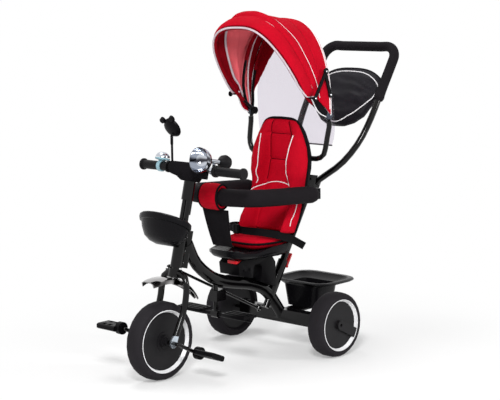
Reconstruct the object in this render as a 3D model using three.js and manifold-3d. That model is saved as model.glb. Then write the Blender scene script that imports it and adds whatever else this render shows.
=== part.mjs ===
// A children's tricycle with a parent push handle, swivelling seat and folding canopy.
// Millimetres, +Z up. The rider faces -Y and +X is the rider's left. While it is built, Y is counted
// from the rear axle; the finished group is then shifted so that its box stands centred on the origin.
import * as THREE from 'three';
import { mergeVertices } from 'three/addons/utils/BufferGeometryUtils.js';
import Module from 'manifold-3d';

const wasm = await Module();
wasm.setup();

// ---------------------------------------------------------------- driving dimensions

const gap = 0.3;                    // between pieces that rest on each other
const runningGap = 0.9;             // round a piece that slides over another

const wheelbase = 543;
const rearHalfTrack = 223;          // centre line to the middle of a rear tyre
const frontTyre = { radius: 119, width: 53, sideWall: 24, ringBand: 7, ringDish: 9 };
const rearTyre = { radius: 102.5, width: 58, sideWall: 21, ringBand: 6.5, ringDish: 9 };
const tyreDepth = 18;               // how deep the core's seat lies below the trim ring
const ringThick = 2.6;
const wheelSides = 28;               // facets round every piece of a wheel, so that they nest
const crankRadius = 6;
const crankLength = 80;
const crankAngle = 28;              // degrees that the left crank points below straight back
const crankReach = 76;              // centre line to a crank arm
const pedal = { hubRadius: 19, hubLength: 17, width: 72, length: 54, thick: 17, pitch: 24 };
const rearAxleRadius = 5;

const casterAngle = 15;             // degrees that the steering axis leans back
const headFoot = { y: 73 - wheelbase, z: 330 }; // foot of the head tube on the steering axis
const headTube = { length: 105, radius: 18 };
const braceTube = { offset: 31, radius: 13, length: 116 };
const steererRadius = 11;
const forkLeg = { radius: 10, spread: 58 };
const crownRadius = 20;
const dropout = { thick: 5, radius: 15, neck: 20 };
const rodArm = 28;                  // sideways reach of the two steering arms
const mudguard = { inner: 188, thick: 3, halfWidth: 31, skirt: 14, front: 104, rear: 33 };

const barHeight = 300;              // along the steering axis, from the foot of the head tube
const barHalf = 212;
const barRadius = 8;
const cover = { farHalf: 80, nearHalf: 54, depth: 38, above: 18, below: 26 };
const grip = { inner: 97, radius: 14, flange: 18, flangeWide: 7 };
const bellPlace = -134;
const mirrorPlace = -88;
const hornPlace = 88;
// The basket's rim rises towards the front: rise is its slope.
const basket = { halfWidth: 95, front: 126, back: 24, rim: 122, band: 20, foot: 60, wall: 2.5, rise: 0.31 };

const spine = { halfWide: 16, halfHigh: 20 };
const beam = { halfLength: 172, deep: 34, high: 42 };
const handleLean = 31.5;            // degrees that the parent handle leans back
const socketFoot = { y: -43.7, z: 191 };
const socket = { radius: 16, below: -26, above: 104 };
const postRadius = 11;
const postLength = 376;             // from the socket's foot to the handle joint
const handle = { radius: 10.5, half: 150, top: 515, corner: 62, foam: 16.5, foamStart: 326 };
const bag = { top: 436, foot: 226, halfWidth: 128, front: -14, back: 46 };

const seatAxis = -140;              // Y of the seat's swivel
const seatBaseTop = 318;
const seatBase = { halfWide: 42, front: -238, back: -72 };
const panTop = 358;
const panHeight = 36;
const thighDip = 12;                // how far the pan's rim dips under each thigh
const seatFrontY = -276;
const seatRearY = -52;
const backPlate = { thick: 8, foot: 352 };
// Side view of the back: heights and the Y of the plate's front face.
const backLine = [[300, -62], [386, -36], [430, -18], [480, -1], [548, 12], [585, 15], [623, 17], [700, 19],
  [800, 20]];
const bumper = { half: 137, rearY: -6, height: 508, frontY: -302, frontHeight: 526, foam: 27 };
const belt = { wide: 24, thick: 3 };

const canopyPivot = { x: 168, y: 50, z: 740 };
const canopyTube = 8.5;
const hoopTube = 5;
const fabricThick = 3;

const bin = { foot: 112, rim: 200, wall: 3 };

// ---------------------------------------------------------------- materials

const finish = (color, roughness, metalness = 0) =>
  new THREE.MeshStandardMaterial({ color, roughness, metalness });
const blackPaint = finish(0x111113, 0.25, 0.3);
const blackPlastic = finish(0x161617, 0.5);
const foamRubber = finish(0x232324, 0.9);
const tyreRubber = finish(0x2c2c2d, 0.8);
const corePlastic = finish(0x1b1b1c, 0.6);
const whiteTrim = finish(0xf2f2f2, 0.4);
const zinc = finish(0xc9ccd0, 0.35, 0.9);
const chrome = finish(0xe6e8ea, 0.08, 1);
const redPlastic = finish(0xd3202c, 0.4);
const redFabric = finish(0xc4142a, 0.85);
const blackFabric = finish(0x18181b, 0.9);
const paleBlue = finish(0xa9cdd6, 0.3);
const mirrorGlass = finish(0xdfe4e8, 0.03, 1);
const windowFilm = finish(0xcfc9d2, 0.4);

// ---------------------------------------------------------------- helpers

const P = (x, y, z) => new THREE.Vector3(x, y, z);
const rad = THREE.MathUtils.degToRad;
const XAXIS = P(1, 0, 0);

// A closed three.js geometry as a solid: shared corners merged, faces pointing out.
function closed(geometry) {
  const bare = geometry.clone();
  bare.deleteAttribute('normal');
  bare.deleteAttribute('uv');
  const merged = mergeVertices(bare, 1e-4);
  const points = merged.attributes.position.array;
  const corner = (i) => P(points[3 * i], points[3 * i + 1], points[3 * i + 2]);
  const faces = [];
  let volume = 0;
  for (let i = 0; i < merged.index.count; i += 3) {
    const [a, b, c] = [0, 1, 2].map((k) => merged.index.getX(i + k));
    if (a !== b && b !== c && c !== a) {
      faces.push([a, b, c]);
      volume += corner(a).dot(corner(b).cross(corner(c)));
    }
  }
  const outward = faces.map(([a, b, c]) => (volume > 0 ? [a, b, c] : [a, c, b]));
  return new wasm.Manifold(new wasm.Mesh({
    numProp: 3,
    vertProperties: new Float32Array(points),
    triVerts: new Uint32Array(outward.flat()),
  }));
}

const join = (first, ...others) => others.reduce((all, one) => all.add(one), first);
const cut = (first, ...others) => others.reduce((all, one) => all.subtract(one), first);

// Adds one named piece, a solid, to a group.
function piece(group, name, solid, material) {
  const mesh = solid.getMesh();
  const geometry = new THREE.BufferGeometry();
  geometry.setAttribute('position', new THREE.BufferAttribute(mesh.vertProperties, 3));
  geometry.setIndex(new THREE.BufferAttribute(mesh.triVerts, 1));
  geometry.computeVertexNormals();
  const part = new THREE.Mesh(geometry, material);
  part.name = name;
  group.add(part);
  return part;
}

const placed = (geometry, matrix) => closed(geometry.clone().applyMatrix4(matrix));
const shift = (x, y, z) => new THREE.Matrix4().makeTranslation(x, y, z);
const turnX = (degrees) => new THREE.Matrix4().makeRotationX(rad(degrees));
const turnY = (degrees) => new THREE.Matrix4().makeRotationY(rad(degrees));
const turnZ = (degrees) => new THREE.Matrix4().makeRotationZ(rad(degrees));

// A block centred on a point.
const block = (wide, deep, high, x, y, z) =>
  placed(new THREE.BoxGeometry(wide, deep, high), shift(x, y, z));

// A round bar, or a cone, between two points.
function rod(a, b, radius, sides = 12, radiusAtB = radius) {
  const along = b.clone().sub(a);
  const shape = new THREE.CylinderGeometry(radiusAtB, radius, along.length(), sides);
  const turn = new THREE.Quaternion().setFromUnitVectors(P(0, 1, 0), along.clone().normalize());
  const middle = a.clone().add(b).multiplyScalar(0.5);
  return placed(shape, new THREE.Matrix4().compose(middle, turn, P(1, 1, 1)));
}

const ball = (center, radius, sides = 12) =>
  placed(new THREE.SphereGeometry(radius, sides, sides / 2), shift(center.x, center.y, center.z));

// A plate whose outline lies in the YZ plane, between two X values.
const YZ = new THREE.Matrix4().makeBasis(P(0, 1, 0), P(0, 0, 1), P(1, 0, 0));
const plateYZ = (outline, x0, x1) => placed(
  new THREE.ExtrudeGeometry(shapeOf(outline), { depth: x1 - x0, bevelEnabled: false, curveSegments: 8 }),
  shift(x0, 0, 0).multiply(YZ),
);
// A plate whose outline lies in the XZ plane, between two Y values.
const XZ = new THREE.Matrix4().makeBasis(P(1, 0, 0), P(0, 0, 1), P(0, -1, 0));
const plateXZ = (outline, y0, y1) => placed(
  new THREE.ExtrudeGeometry(shapeOf(outline), { depth: y1 - y0, bevelEnabled: false, curveSegments: 8 }),
  shift(0, y1, 0).multiply(XZ),
);

const shapeOf = (outline) => (outline instanceof THREE.Shape
  ? outline
  : new THREE.Shape(outline.map(([x, y]) => new THREE.Vector2(x, y))));

function ellipseShape(a, b, sides, innerA = 0, innerB = innerA) {
  const ring = (p, q) => Array.from({ length: sides }, (_, i) => {
    const angle = (2 * Math.PI * i) / sides;
    return new THREE.Vector2(p * Math.cos(angle), q * Math.sin(angle));
  });
  const shape = new THREE.Shape(ring(a, b));
  if (innerA) shape.holes.push(new THREE.Path(ring(innerA, innerB)));
  return shape;
}

const smooth = (points) => new THREE.CatmullRomCurve3(points, false, 'centripetal');
const sweep = (curve, shape, steps) => closed(
  new THREE.ExtrudeGeometry(shape, { steps, extrudePath: curve, bevelEnabled: false }),
);
const tube = (points, radius, steps, sides = 8, bore = 0) =>
  sweep(smooth(points), ellipseShape(radius, radius, sides, bore), steps);

// A turned piece; its profile lists [radius, height] pairs and the height runs along Z or X.
const lathe = (profile, sides) => new THREE.LatheGeometry(
  profile.map(([r, h]) => new THREE.Vector2(r, h)), sides);
const turnedZ = (profile, sides, at = shift(0, 0, 0)) =>
  placed(lathe(profile, sides), at.clone().multiply(turnX(90)));
const turnedX = (profile, sides, at = shift(0, 0, 0)) =>
  placed(lathe(profile, sides), at.clone().multiply(turnZ(-90)));

// A skin through equal rings of points, closed by flat caps.
function loft(rings) {
  const count = rings[0].length;
  const vertices = rings.flat().flatMap((p) => [p.x, p.y, p.z]);
  const faces = [];
  for (let r = 0; r + 1 < rings.length; r += 1) {
    for (let i = 0; i < count; i += 1) {
      const j = (i + 1) % count;
      const [a, b, c, d] = [r * count + i, r * count + j, (r + 1) * count + j, (r + 1) * count + i];
      faces.push(a, b, c, a, c, d);
    }
  }
  // A flat lid whose faces run with its ring, or against it.
  const cap = (ring, base, withRing) => {
    const size = new THREE.Box3().setFromPoints(ring).getSize(P(0, 0, 0));
    const thin = ['x', 'y', 'z'].reduce((m, k) => (size[k] < size[m] ? k : m), 'x');
    const [u, v] = { x: ['y', 'z'], y: ['z', 'x'], z: ['x', 'y'] }[thin];
    const flat = ring.map((p) => new THREE.Vector2(p[u], p[v]));
    const ringTurn = THREE.ShapeUtils.area(flat) > 0;
    THREE.ShapeUtils.triangulateShape(flat, []).forEach((face) => {
      const faceTurn = THREE.ShapeUtils.area(face.map((i) => flat[i])) > 0;
      const [i, j, k] = face.map((n) => base + n);
      faces.push(...((faceTurn === ringTurn) === withRing ? [i, j, k] : [i, k, j]));
    });
  };
  cap(rings[0], 0, false);
  cap(rings[rings.length - 1], (rings.length - 1) * count, true);
  const geometry = new THREE.BufferGeometry();
  geometry.setAttribute('position', new THREE.Float32BufferAttribute(vertices, 3));
  geometry.setIndex(faces);
  return closed(geometry);
}

const mirrored = (points) => [...points, ...points.slice().reverse()
  .filter((p) => Math.abs(p.x) > 1e-6).map((p) => P(-p.x, p.y, p.z))];

// ---------------------------------------------------------------- groups

const trike = new THREE.Group();
const build = new THREE.Group();
trike.add(build);

// Steering frame: its Z axis is the steering axis and its origin is the foot of the head tube.
const steering = new THREE.Group();
steering.position.set(0, headFoot.y, headFoot.z);
steering.rotation.x = -rad(casterAngle);
build.add(steering);
steering.updateMatrixWorld(true);
const intoSteering = steering.matrixWorld.clone().invert();
const steerPoint = (x, y, z) => P(x, y, z).applyMatrix4(intoSteering);
const fromSteering = (x, y, z) => P(x, y, z).applyMatrix4(steering.matrixWorld);
const frontAxle = steerPoint(0, -wheelbase, frontTyre.radius);

// Handle frame: its Z axis is the handle post and its origin is the foot of the socket.
const pushHandle = new THREE.Group();
pushHandle.position.set(0, socketFoot.y, socketFoot.z);
pushHandle.rotation.x = -rad(handleLean);
build.add(pushHandle);
pushHandle.updateMatrixWorld(true);
const fromHandle = (x, y, z) => P(x, y, z).applyMatrix4(pushHandle.matrixWorld);

// ---------------------------------------------------------------- wheels

// Pieces of a wheel about the X axis. A ring seat is a shallow cone in the tyre's side.
function wheelPieces(tyre, rings, bore, boss, latch) {
  const half = tyre.width / 2;
  const ringOuter = tyre.radius - tyre.sideWall;
  const ringInner = ringOuter - tyre.ringBand;
  const seatBore = ringInner - tyreDepth + tyre.ringBand;
  const ringRoom = ringThick + 2 * gap;
  const seatX = half - ringRoom - tyre.ringDish;
  const side = (s, seated) => (seated
    ? [[seatBore, s * seatX], [ringInner, s * seatX], [ringOuter + gap, s * (half - ringRoom)],
      [ringOuter + gap, s * half]]
    : [[seatBore, s * seatX], [ringOuter - tyre.ringBand, s * seatX], [ringOuter, s * half]]);
  const tread = [[0.92, 1], [0.975, 0.78], [1, 0.36]].map(([r, x]) => [tyre.radius * r, half * x]);
  const outline = [
    ...side(-1, rings.includes(-1)), ...tread.map(([r, x]) => [r, -x]),
    ...tread.slice().reverse(), ...side(1, rings.includes(1)).reverse(),
  ];
  const flange = ringInner - gap;
  const face = seatX + gap + ringThick;
  const faceSide = (s) => [
    [bore, s * boss[boss.length - 1][1]],
    ...boss.slice().reverse().flatMap(([r, x], i, all) => [[r, s * x], [r, s * (all[i + 1]?.[1] ?? face)]]),
    [flange, s * face], [flange, s * (seatX + gap)], [seatBore - gap, s * (seatX + gap)],
  ];
  const boreEnd = [bore, -boss[boss.length - 1][1]];
  let core = turnedX([...faceSide(-1), ...faceSide(1).reverse(), boreEnd], wheelSides);
  const ring = (s) => turnedX([
    [ringInner, s * (seatX + gap)], [ringOuter, s * (half - ringRoom + gap)],
    [ringOuter, s * (half - gap)], [ringInner, s * (seatX + gap + ringThick)],
    [ringInner, s * (seatX + gap)]], wheelSides);
  const ringSolids = Object.fromEntries(rings.map((s) => [s, ring(s)]));
  if (latch) {
    const stadium = (grow) => {
      const r = latch.halfWidth + grow;
      const far = ringOuter + grow;
      const round = Array.from({ length: 7 }, (_, i) => {
        const angle = Math.PI / 2 + (Math.PI * i) / 6;
        return [r * Math.cos(angle), r * Math.sin(angle)];
      });
      return [...round, [far, -r], [far, r]];
    };
    const s = rings[0];
    const spans = [s * face * 0.6, s * half].sort((a, b) => a - b);
    const turned = turnX(latch.angle);
    const arm = (grow, from, to) => placed(
      new THREE.ExtrudeGeometry(shapeOf(stadium(grow)), { depth: to - from, bevelEnabled: false }),
      turned.clone().multiply(shift(from, 0, 0)).multiply(YZ),
    );
    const rim = turnedX([[0, -half], [ringOuter - gap, -half], [ringOuter - gap, half], [0, half]], wheelSides);
    const tyreSolid = turnedX([...outline, outline[0]], wheelSides);
    const clear = turnedX([
      [seatBore, s * (seatX + gap)], [ringInner, s * (seatX + gap)],
      [ringOuter + gap, s * (half - ringRoom + gap)], [ringOuter + gap, 0], [seatBore, 0],
      [seatBore, s * (seatX + gap)]], wheelSides);
    const boreRod = rod(P(-half * 2, 0, 0), P(half * 2, 0, 0), bore, 12);
    const tab = cut(arm(0, ...spans).intersect(rim), clear, boreRod);
    core = join(core, tab);
    ringSolids[s] = cut(ringSolids[s], arm(gap, ...spans));
    return { tyre: tyreSolid, core, rings: ringSolids };
  }
  return { tyre: turnedX([...outline, outline[0]], wheelSides), core, rings: ringSolids };
}

const sideName = (s) => (s > 0 ? 'left' : 'right');

const frontWheel = new THREE.Group();
frontWheel.position.set(0, -wheelbase, frontTyre.radius);
build.add(frontWheel);
const front = wheelPieces(frontTyre, [-1, 1], crankRadius + gap, [[29, 19], [20, 27], [13, 38]], null);
piece(frontWheel, 'front_tyre', front.tyre, tyreRubber);
piece(frontWheel, 'front_wheel_core', front.core, corePlastic);
for (const s of [1, -1]) piece(frontWheel, `front_trim_ring_${sideName(s)}`, front.rings[s], whiteTrim);

const crankEnd = (s) => P(
  s * crankReach,
  s * crankLength * Math.cos(rad(crankAngle)),
  -s * crankLength * Math.sin(rad(crankAngle)),
);
const spindleReach = crankReach + pedal.hubLength + pedal.width * 0.7;
function crankHalf(s) {
  const end = crankEnd(s);
  const elbow = P(s * crankReach, 0, 0);
  return [
    rod(P(0, 0, 0), elbow, crankRadius, 10), ball(elbow, crankRadius, 8),
    rod(elbow, end, crankRadius, 8), ball(end, crankRadius, 8),
    rod(end, P(s * spindleReach, end.y, end.z), crankRadius * 0.8, 8),
  ];
}
const crankSolids = [...crankHalf(1), ...crankHalf(-1)];
piece(frontWheel, 'pedal_crank', join(...crankSolids), blackPaint);

// A pedal about the X axis: a round hub, then a slotted platform; it runs outward from the crank.
function pedalSolid(s) {
  const hubStart = crankRadius + gap + 2;
  const hubEnd = hubStart + pedal.hubLength;
  const end = hubEnd + pedal.width;
  const span = (a, b) => [s * a, s * b].sort((m, n) => m - n);
  const [x0, x1] = span(hubEnd - 4, end);
  const half = pedal.length / 2;
  const thick = pedal.thick / 2;
  const outline = [[-half, -thick * 0.6], [-half + 5, -thick], [half - 5, -thick], [half, -thick * 0.6],
    [half, thick * 0.6], [half - 5, thick], [-half + 5, thick], [-half, thick * 0.6]];
  const hub = rod(P(s * hubStart, 0, 0), P(s * hubEnd, 0, 0), pedal.hubRadius, 18);
  const slots = [0.34, 0.68].flatMap((share) => [-1, 1].map((side) => block(
    pedal.width * 0.2, half * 0.52, pedal.thick * 2, s * (hubEnd + pedal.width * share), side * half * 0.52, 0)));
  const bore = rod(P(0, 0, 0), P(s * (spindleReach - crankReach + gap), 0, 0), crankRadius * 0.8 + gap);
  return cut(join(plateYZ(outline, x0, x1), hub), bore, ...slots);
}
for (const s of [1, -1]) {
  const foot = piece(frontWheel, `pedal_${sideName(s)}`, pedalSolid(s), blackPlastic);
  foot.position.copy(crankEnd(s));
  foot.rotation.x = s > 0 ? -rad(pedal.pitch) : 0;
}

const rearWheels = new THREE.Group();
rearWheels.position.set(0, 0, rearTyre.radius);
build.add(rearWheels);
for (const s of [1, -1]) {
  const parts = wheelPieces(rearTyre, [s], rearAxleRadius + gap, [[17, 20]], { halfWidth: 15, angle: -27 });
  const holder = new THREE.Group();
  holder.position.x = s * rearHalfTrack;
  rearWheels.add(holder);
  piece(holder, `rear_tyre_${sideName(s)}`, parts.tyre, tyreRubber);
  piece(holder, `rear_wheel_core_${sideName(s)}`, parts.core, corePlastic);
  piece(holder, `rear_trim_ring_${sideName(s)}`, parts.rings[s], whiteTrim);
}

// ---------------------------------------------------------------- welded frame

const bracePoint = (along) => fromSteering(0, braceTube.offset, along);
const spinePath = smooth([
  bracePoint(76), P(0, headFoot.y + 81, 334), P(0, headFoot.y + 123, 295), P(0, headFoot.y + 166, 268),
  P(0, headFoot.y + 232, 247), P(0, -147, 227),
  P(0, -92, 206), P(0, -58, 178), P(0, -29, 142), P(0, 0, rearTyre.radius),
]);
const spineSolid = (grow) =>
  sweep(spinePath, ellipseShape(spine.halfWide + grow, spine.halfHigh + grow, 12), 20);
const handleAxis = (along) => fromHandle(0, 0, along);
const footrestPivot = P(0, headFoot.y + 167, 158);
const footrestTube = 7;
const hanger = { radius: 8, top: 262 };
const binShelf = { halfWide: 34, back: 160, thick: 5 };
const brake = { x: 181, pivotY: 21, pivotZ: 118, pin: 4 };

function frameSolid() {
  const head = rod(fromSteering(0, 0, 0), fromSteering(0, 0, headTube.length), headTube.radius, 18);
  const brace = rod(bracePoint(2), bracePoint(braceTube.length), braceTube.radius, 12);
  const webAt = (along) => rod(
    fromSteering(0, 0, along), fromSteering(0, braceTube.offset, along), headTube.radius * 0.55, 8);
  const steererBore = rod(
    fromSteering(0, 0, -20), fromSteering(0, 0, headTube.length + 20), steererRadius + gap, 14);
  const crossBeam = block(beam.halfLength * 2, beam.deep, beam.high, 0, 0, rearTyre.radius);
  const axleHalf = rearHalfTrack + 17;
  const axle = rod(P(-axleHalf, 0, rearTyre.radius), P(axleHalf, 0, rearTyre.radius), rearAxleRadius, 12);
  const socketTube = rod(handleAxis(socket.below), handleAxis(socket.above), socket.radius, 14);
  const postBore = rod(handleAxis(socket.below - 60), handleAxis(socket.above + 60), postRadius + gap, 14);
  const drop = rod(P(0, footrestPivot.y, hanger.top), footrestPivot, hanger.radius, 10);
  const hinge = block(30, 40, 34, 0, footrestPivot.y + 10, 216);
  const eye = rod(P(-14, footrestPivot.y, footrestPivot.z), P(14, footrestPivot.y, footrestPivot.z), 12, 12);
  const eyeBore = rod(
    P(-40, footrestPivot.y, footrestPivot.z), P(40, footrestPivot.y, footrestPivot.z), footrestTube + gap, 12);
  const shelf = block(
    binShelf.halfWide * 2, binShelf.back, binShelf.thick,
    0, binShelf.back / 2, bin.foot - gap - binShelf.thick / 2);
  const brakeLugs = [1, -1].flatMap((s) => [
    block(8, 20, 16, s * (brake.x - 13), brake.pivotY - 4, brake.pivotZ),
    rod(P(s * (brake.x - 12), brake.pivotY, brake.pivotZ), P(s * (brake.x + 5), brake.pivotY, brake.pivotZ),
      brake.pin, 8),
  ]);
  return cut(
    join(spineSolid(0), head, brace, webAt(14), webAt(50), webAt(92), crossBeam, socketTube, drop, hinge, eye,
      shelf, axle, ...brakeLugs),
    steererBore, postBore, eyeBore,
  );
}
piece(build, 'main_frame', frameSolid(), blackPaint);

// Brake pedals on pins at the ends of the beam, behind the rear wheels' inner faces.
for (const s of [1, -1]) {
  const outline = [[-9, 8], [0, 11], [9, 8], [14, -4], [30, -18], [44, -38], [38, -44], [20, -30], [2, -12],
    [-9, -6]];
  const [x0, x1] = [s * (brake.x - 7), s * (brake.x + 3)].sort((a, b) => a - b);
  const arm = plateYZ(outline, x0, x1);
  const pad = block(16, 26, 7, s * (brake.x - 8), 42, -42);
  const hole = rod(P(s * (brake.x - 30), 0, 0), P(s * (brake.x + 30), 0, 0), brake.pin + gap, 8);
  const lever = piece(build, `brake_pedal_${sideName(s)}`, cut(join(arm, pad), hole), redPlastic);
  lever.position.set(0, brake.pivotY, brake.pivotZ);
}

// Footrest: a cross tube held in the hanger's eye, with a flat pad near each end.
function footrestSolid() {
  const pads = [1, -1].map((s) => {
    const slab = block(96, 56, 9, s * 96, 2, 8);
    const ribs = [-16, 0, 16].map((y) => block(88, 5, 3, s * 96, 2 + y, 13));
    return join(slab, ...ribs);
  });
  return join(rod(P(-150, 0, 0), P(150, 0, 0), footrestTube, 12), ...pads);
}
piece(build, 'footrest', footrestSolid(), blackPlastic).position.copy(footrestPivot);

// Rear bin: a tapered tub with a broad rolled rim.
function roundedRing(halfX, y0, y1, corner, z, perCorner = 3) {
  const points = [];
  const centers = [[halfX - corner, y1 - corner, 0], [-halfX + corner, y1 - corner, 90],
    [-halfX + corner, y0 + corner, 180], [halfX - corner, y0 + corner, 270]];
  for (const [cx, cy, start] of centers) {
    for (let i = 0; i <= perCorner; i += 1) {
      const angle = rad(start + (90 * i) / perCorner);
      points.push(P(cx + corner * Math.cos(angle), cy + corner * Math.sin(angle), z));
    }
  }
  return points;
}
function binSolid() {
  const w = bin.wall;
  const outer = loft([
    roundedRing(66, 92, 192, 22, bin.foot), roundedRing(76, 85, 202, 26, bin.rim - 18),
    roundedRing(104, 80, 236, 44, bin.rim - 9), roundedRing(121, 75, 256, 56, bin.rim - 7),
    roundedRing(124, 72, 260, 60, bin.rim - 3), roundedRing(119, 77, 254, 55, bin.rim)]);
  const inner = loft([
    roundedRing(66 - w, 92 + w, 192 - w, 20, bin.foot + w), roundedRing(76 - w, 85 + w, 202 - w, 24, bin.rim - 15),
    roundedRing(103 - w, 80 + w, 237 - w, 42, bin.rim - 6), roundedRing(107, 84, 242, 46, bin.rim + 1)]);
  return cut(outer, inner);
}
piece(build, 'rear_bin', binSolid(), blackPlastic);

// Steering rod beside the spine, between the fork's arm and the arm on the handle post. Its rear eye
// has room to slide along its pin, since the two steering axes lean by different amounts.
const rodPin = 4;
const rodEye = 6;                   // height of the front pin's end above the foot of the head tube
const rodEyeRadius = 8;
const postArm = { height: -58, pinFoot: -79, eye: -68.5, eyeThick: 7 };
function steeringRodSolid() {
  const frontAt = (z) => fromSteering(-rodArm, 0, z);
  const rearAt = (z) => fromHandle(-rodArm, 0, z);
  const frontEye = rod(frontAt(-3), frontAt(3), rodEyeRadius, 12);
  const eyeHalf = postArm.eyeThick / 2;
  const rearEye = rod(rearAt(postArm.eye - eyeHalf), rearAt(postArm.eye + eyeHalf), 10, 12);
  const bar = rod(frontAt(0.5), rearAt(postArm.eye), 4.5, 8);
  return cut(
    join(bar, frontEye, rearEye),
    rod(frontAt(-20), frontAt(20), rodPin + runningGap, 12),
    rod(rearAt(postArm.eye - 30), rearAt(postArm.eye + 30), rodPin + runningGap + gap, 8),
  );
}
piece(build, 'steering_rod', steeringRodSolid(), blackPaint);

// ---------------------------------------------------------------- fork, mudguard and stem

const forkFoot = { y: -11, z: -200 };
const legPoints = (s) => [
  P(s * 8, -1, -15), P(s * 30, -1, -17), P(s * 46, 2, -30), P(s * 53, 6, -60), P(s * 54, 9, -95),
  P(s * 55, 6, -132), P(s * 57, -4, -172), P(s * forkLeg.spread, -13, -206),
];
function forkSolid() {
  const crown = rod(P(0, 0, -4), P(0, 0, -31), crownRadius, 16);
  const steerer = rod(P(0, 0, -6), P(0, 0, headTube.length + 15), steererRadius, 14);
  const legs = [1, -1].map((s) => tube(legPoints(s), forkLeg.radius, 11, 10));
  const lug = block(26, 14, 5, -rodArm + 6, 0, -9);
  const lugPin = rod(P(-rodArm, 0, -8), P(-rodArm, 0, rodEye), rodPin, 8);
  const footCut = block(200, 80, 20, 0, forkFoot.y, forkFoot.z - 10);
  return cut(join(crown, steerer, ...legs, lug, lugPin), footCut);
}
piece(steering, 'fork', forkSolid(), blackPaint);

// Dropouts: flat zinc plates below the legs, with a round end about the axle.
const dropoutX = forkLeg.spread;
for (const s of [1, -1]) {
  const r = dropout.radius;
  const n = dropout.neck / 2;
  const top = forkFoot.z - gap - frontAxle.z;
  const lean = forkFoot.y - frontAxle.y;
  const foot = Array.from({ length: 9 }, (_, i) => {
    const angle = rad(150 + (240 * i) / 8);
    return [r * Math.cos(angle), r * Math.sin(angle)];
  });
  const outline = [...foot, [lean + n, top], [lean - n, top]];
  const plate = plateYZ(outline, s * dropoutX - dropout.thick / 2, s * dropoutX + dropout.thick / 2);
  const hole = rod(P(s * dropoutX - 20, 0, 0), P(s * dropoutX + 20, 0, 0), crankRadius + gap, 12);
  const mesh = piece(steering, `dropout_${sideName(s)}`, cut(plate, hole), zinc);
  mesh.position.set(0, frontAxle.y, frontAxle.z);
}

// Mudguard: an arched shell with side skirts that narrows to its tail, hung from the crown.
function mudguardSolid() {
  const rings = [];
  const steps = 12;
  for (let i = 0; i <= steps; i += 1) {
    const share = i / steps;
    const angle = rad(mudguard.front + (mudguard.rear - mudguard.front) * share);
    const taper = share < 0.55 ? 1 : 1 - 0.72 * ((share - 0.55) / 0.45);
    const wide = mudguard.halfWidth * taper * (share === 0 ? 0.8 : 1);
    const skirt = mudguard.skirt * taper;
    const at = (x, r) => P(x, r * Math.cos(angle), r * Math.sin(angle));
    const [low, high] = [mudguard.inner, mudguard.inner + mudguard.thick];
    rings.push([
      at(-wide, low - skirt), at(-wide + 3, low - skirt), at(-wide + 4, low - 4), at(-wide * 0.6, low),
      at(wide * 0.6, low), at(wide - 4, low - 4), at(wide - 3, low - skirt), at(wide, low - skirt),
      at(wide, high - 5), at(wide * 0.6, high), at(-wide * 0.6, high), at(-wide, high - 5),
    ]);
  }
  const shell = loft(rings);
  const toWheel = (p) => p.sub(P(0, -wheelbase, frontTyre.radius));
  const boss = rod(
    toWheel(fromSteering(0, 0, -31 - gap)), toWheel(fromSteering(0, 0, -37)), 12, 10);
  return join(shell, boss);
}
piece(frontWheel, 'mudguard', mudguardSolid(), blackPlastic);

const stemFoot = headTube.length + 1;
function stemSolid() {
  const collar = rod(P(0, 0, stemFoot), P(0, 0, stemFoot + 20), 17, 16);
  const tubes = [1, -1].map((s) => rod(P(s * 8.5, 0, stemFoot + 12), P(s * 8.5, 0, 212), 8, 10));
  const sleeve = rod(P(0, 0, 205), P(0, 0, barHeight - cover.below - 12), 18, 20);
  const flutes = Array.from({ length: 8 }, (_, i) => {
    const angle = (2 * Math.PI * i) / 8;
    const [x, y] = [18.6 * Math.cos(angle), 18.6 * Math.sin(angle)];
    return rod(P(x, y, 212), P(x, y, 252), 1.8, 4);
  });
  const backPlate = block(22, 5, 44, 0, 11, 184);
  const bolts = [172, 196].map((z) => rod(P(0, 12, z), P(0, 18, z), 4, 8));
  const hook = block(30, 12, 18, 0, 6 - basket.back + gap, stemFoot + 10);
  const bore = rod(P(0, 0, 0), P(0, 0, headTube.length + 15 + gap), steererRadius + gap, 14);
  return cut(join(collar, ...tubes, sleeve, backPlate, ...bolts, hook), bore, ...flutes);
}
piece(steering, 'handlebar_stem', stemSolid(), blackPaint);

// ---------------------------------------------------------------- handlebar and what sits on it

const bars = new THREE.Group();     // origin in the middle of the handlebar
bars.position.set(0, 0, barHeight);
steering.add(bars);
piece(bars, 'handlebar', rod(P(-barHalf, 0, 0), P(barHalf, 0, 0), barRadius, 14), blackPaint);

function coverSolid() {
  const [far, near] = [cover.farHalf, cover.nearHalf];
  const outline = [[-22, -cover.below - 12 + gap], [22, -cover.below - 12 + gap], [30, -cover.below],
    [near - 2, -cover.below], [near, -cover.below + 2], [near, cover.above - 8], [near - 8, cover.above],
    [-far + 8, cover.above], [-far, cover.above - 8], [-far, -cover.below + 9], [-far * 0.8, -cover.below + 4],
    [-far * 0.55, -cover.below]];
  const half = cover.depth / 2;
  const bore = rod(P(-far - 10, 0, 0), P(near + 10, 0, 0), barRadius + gap, 14);
  const edges = [1, -1].map((s) => plateYZ(
    [[s * half, cover.above - 7], [s * half, cover.above + 5], [s * (half - 7), cover.above + 5]], -far - 5, near + 5));
  return cut(plateXZ(outline, -half, half), bore, ...edges);
}
piece(bars, 'bar_cover', coverSolid(), blackPlastic);

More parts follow.
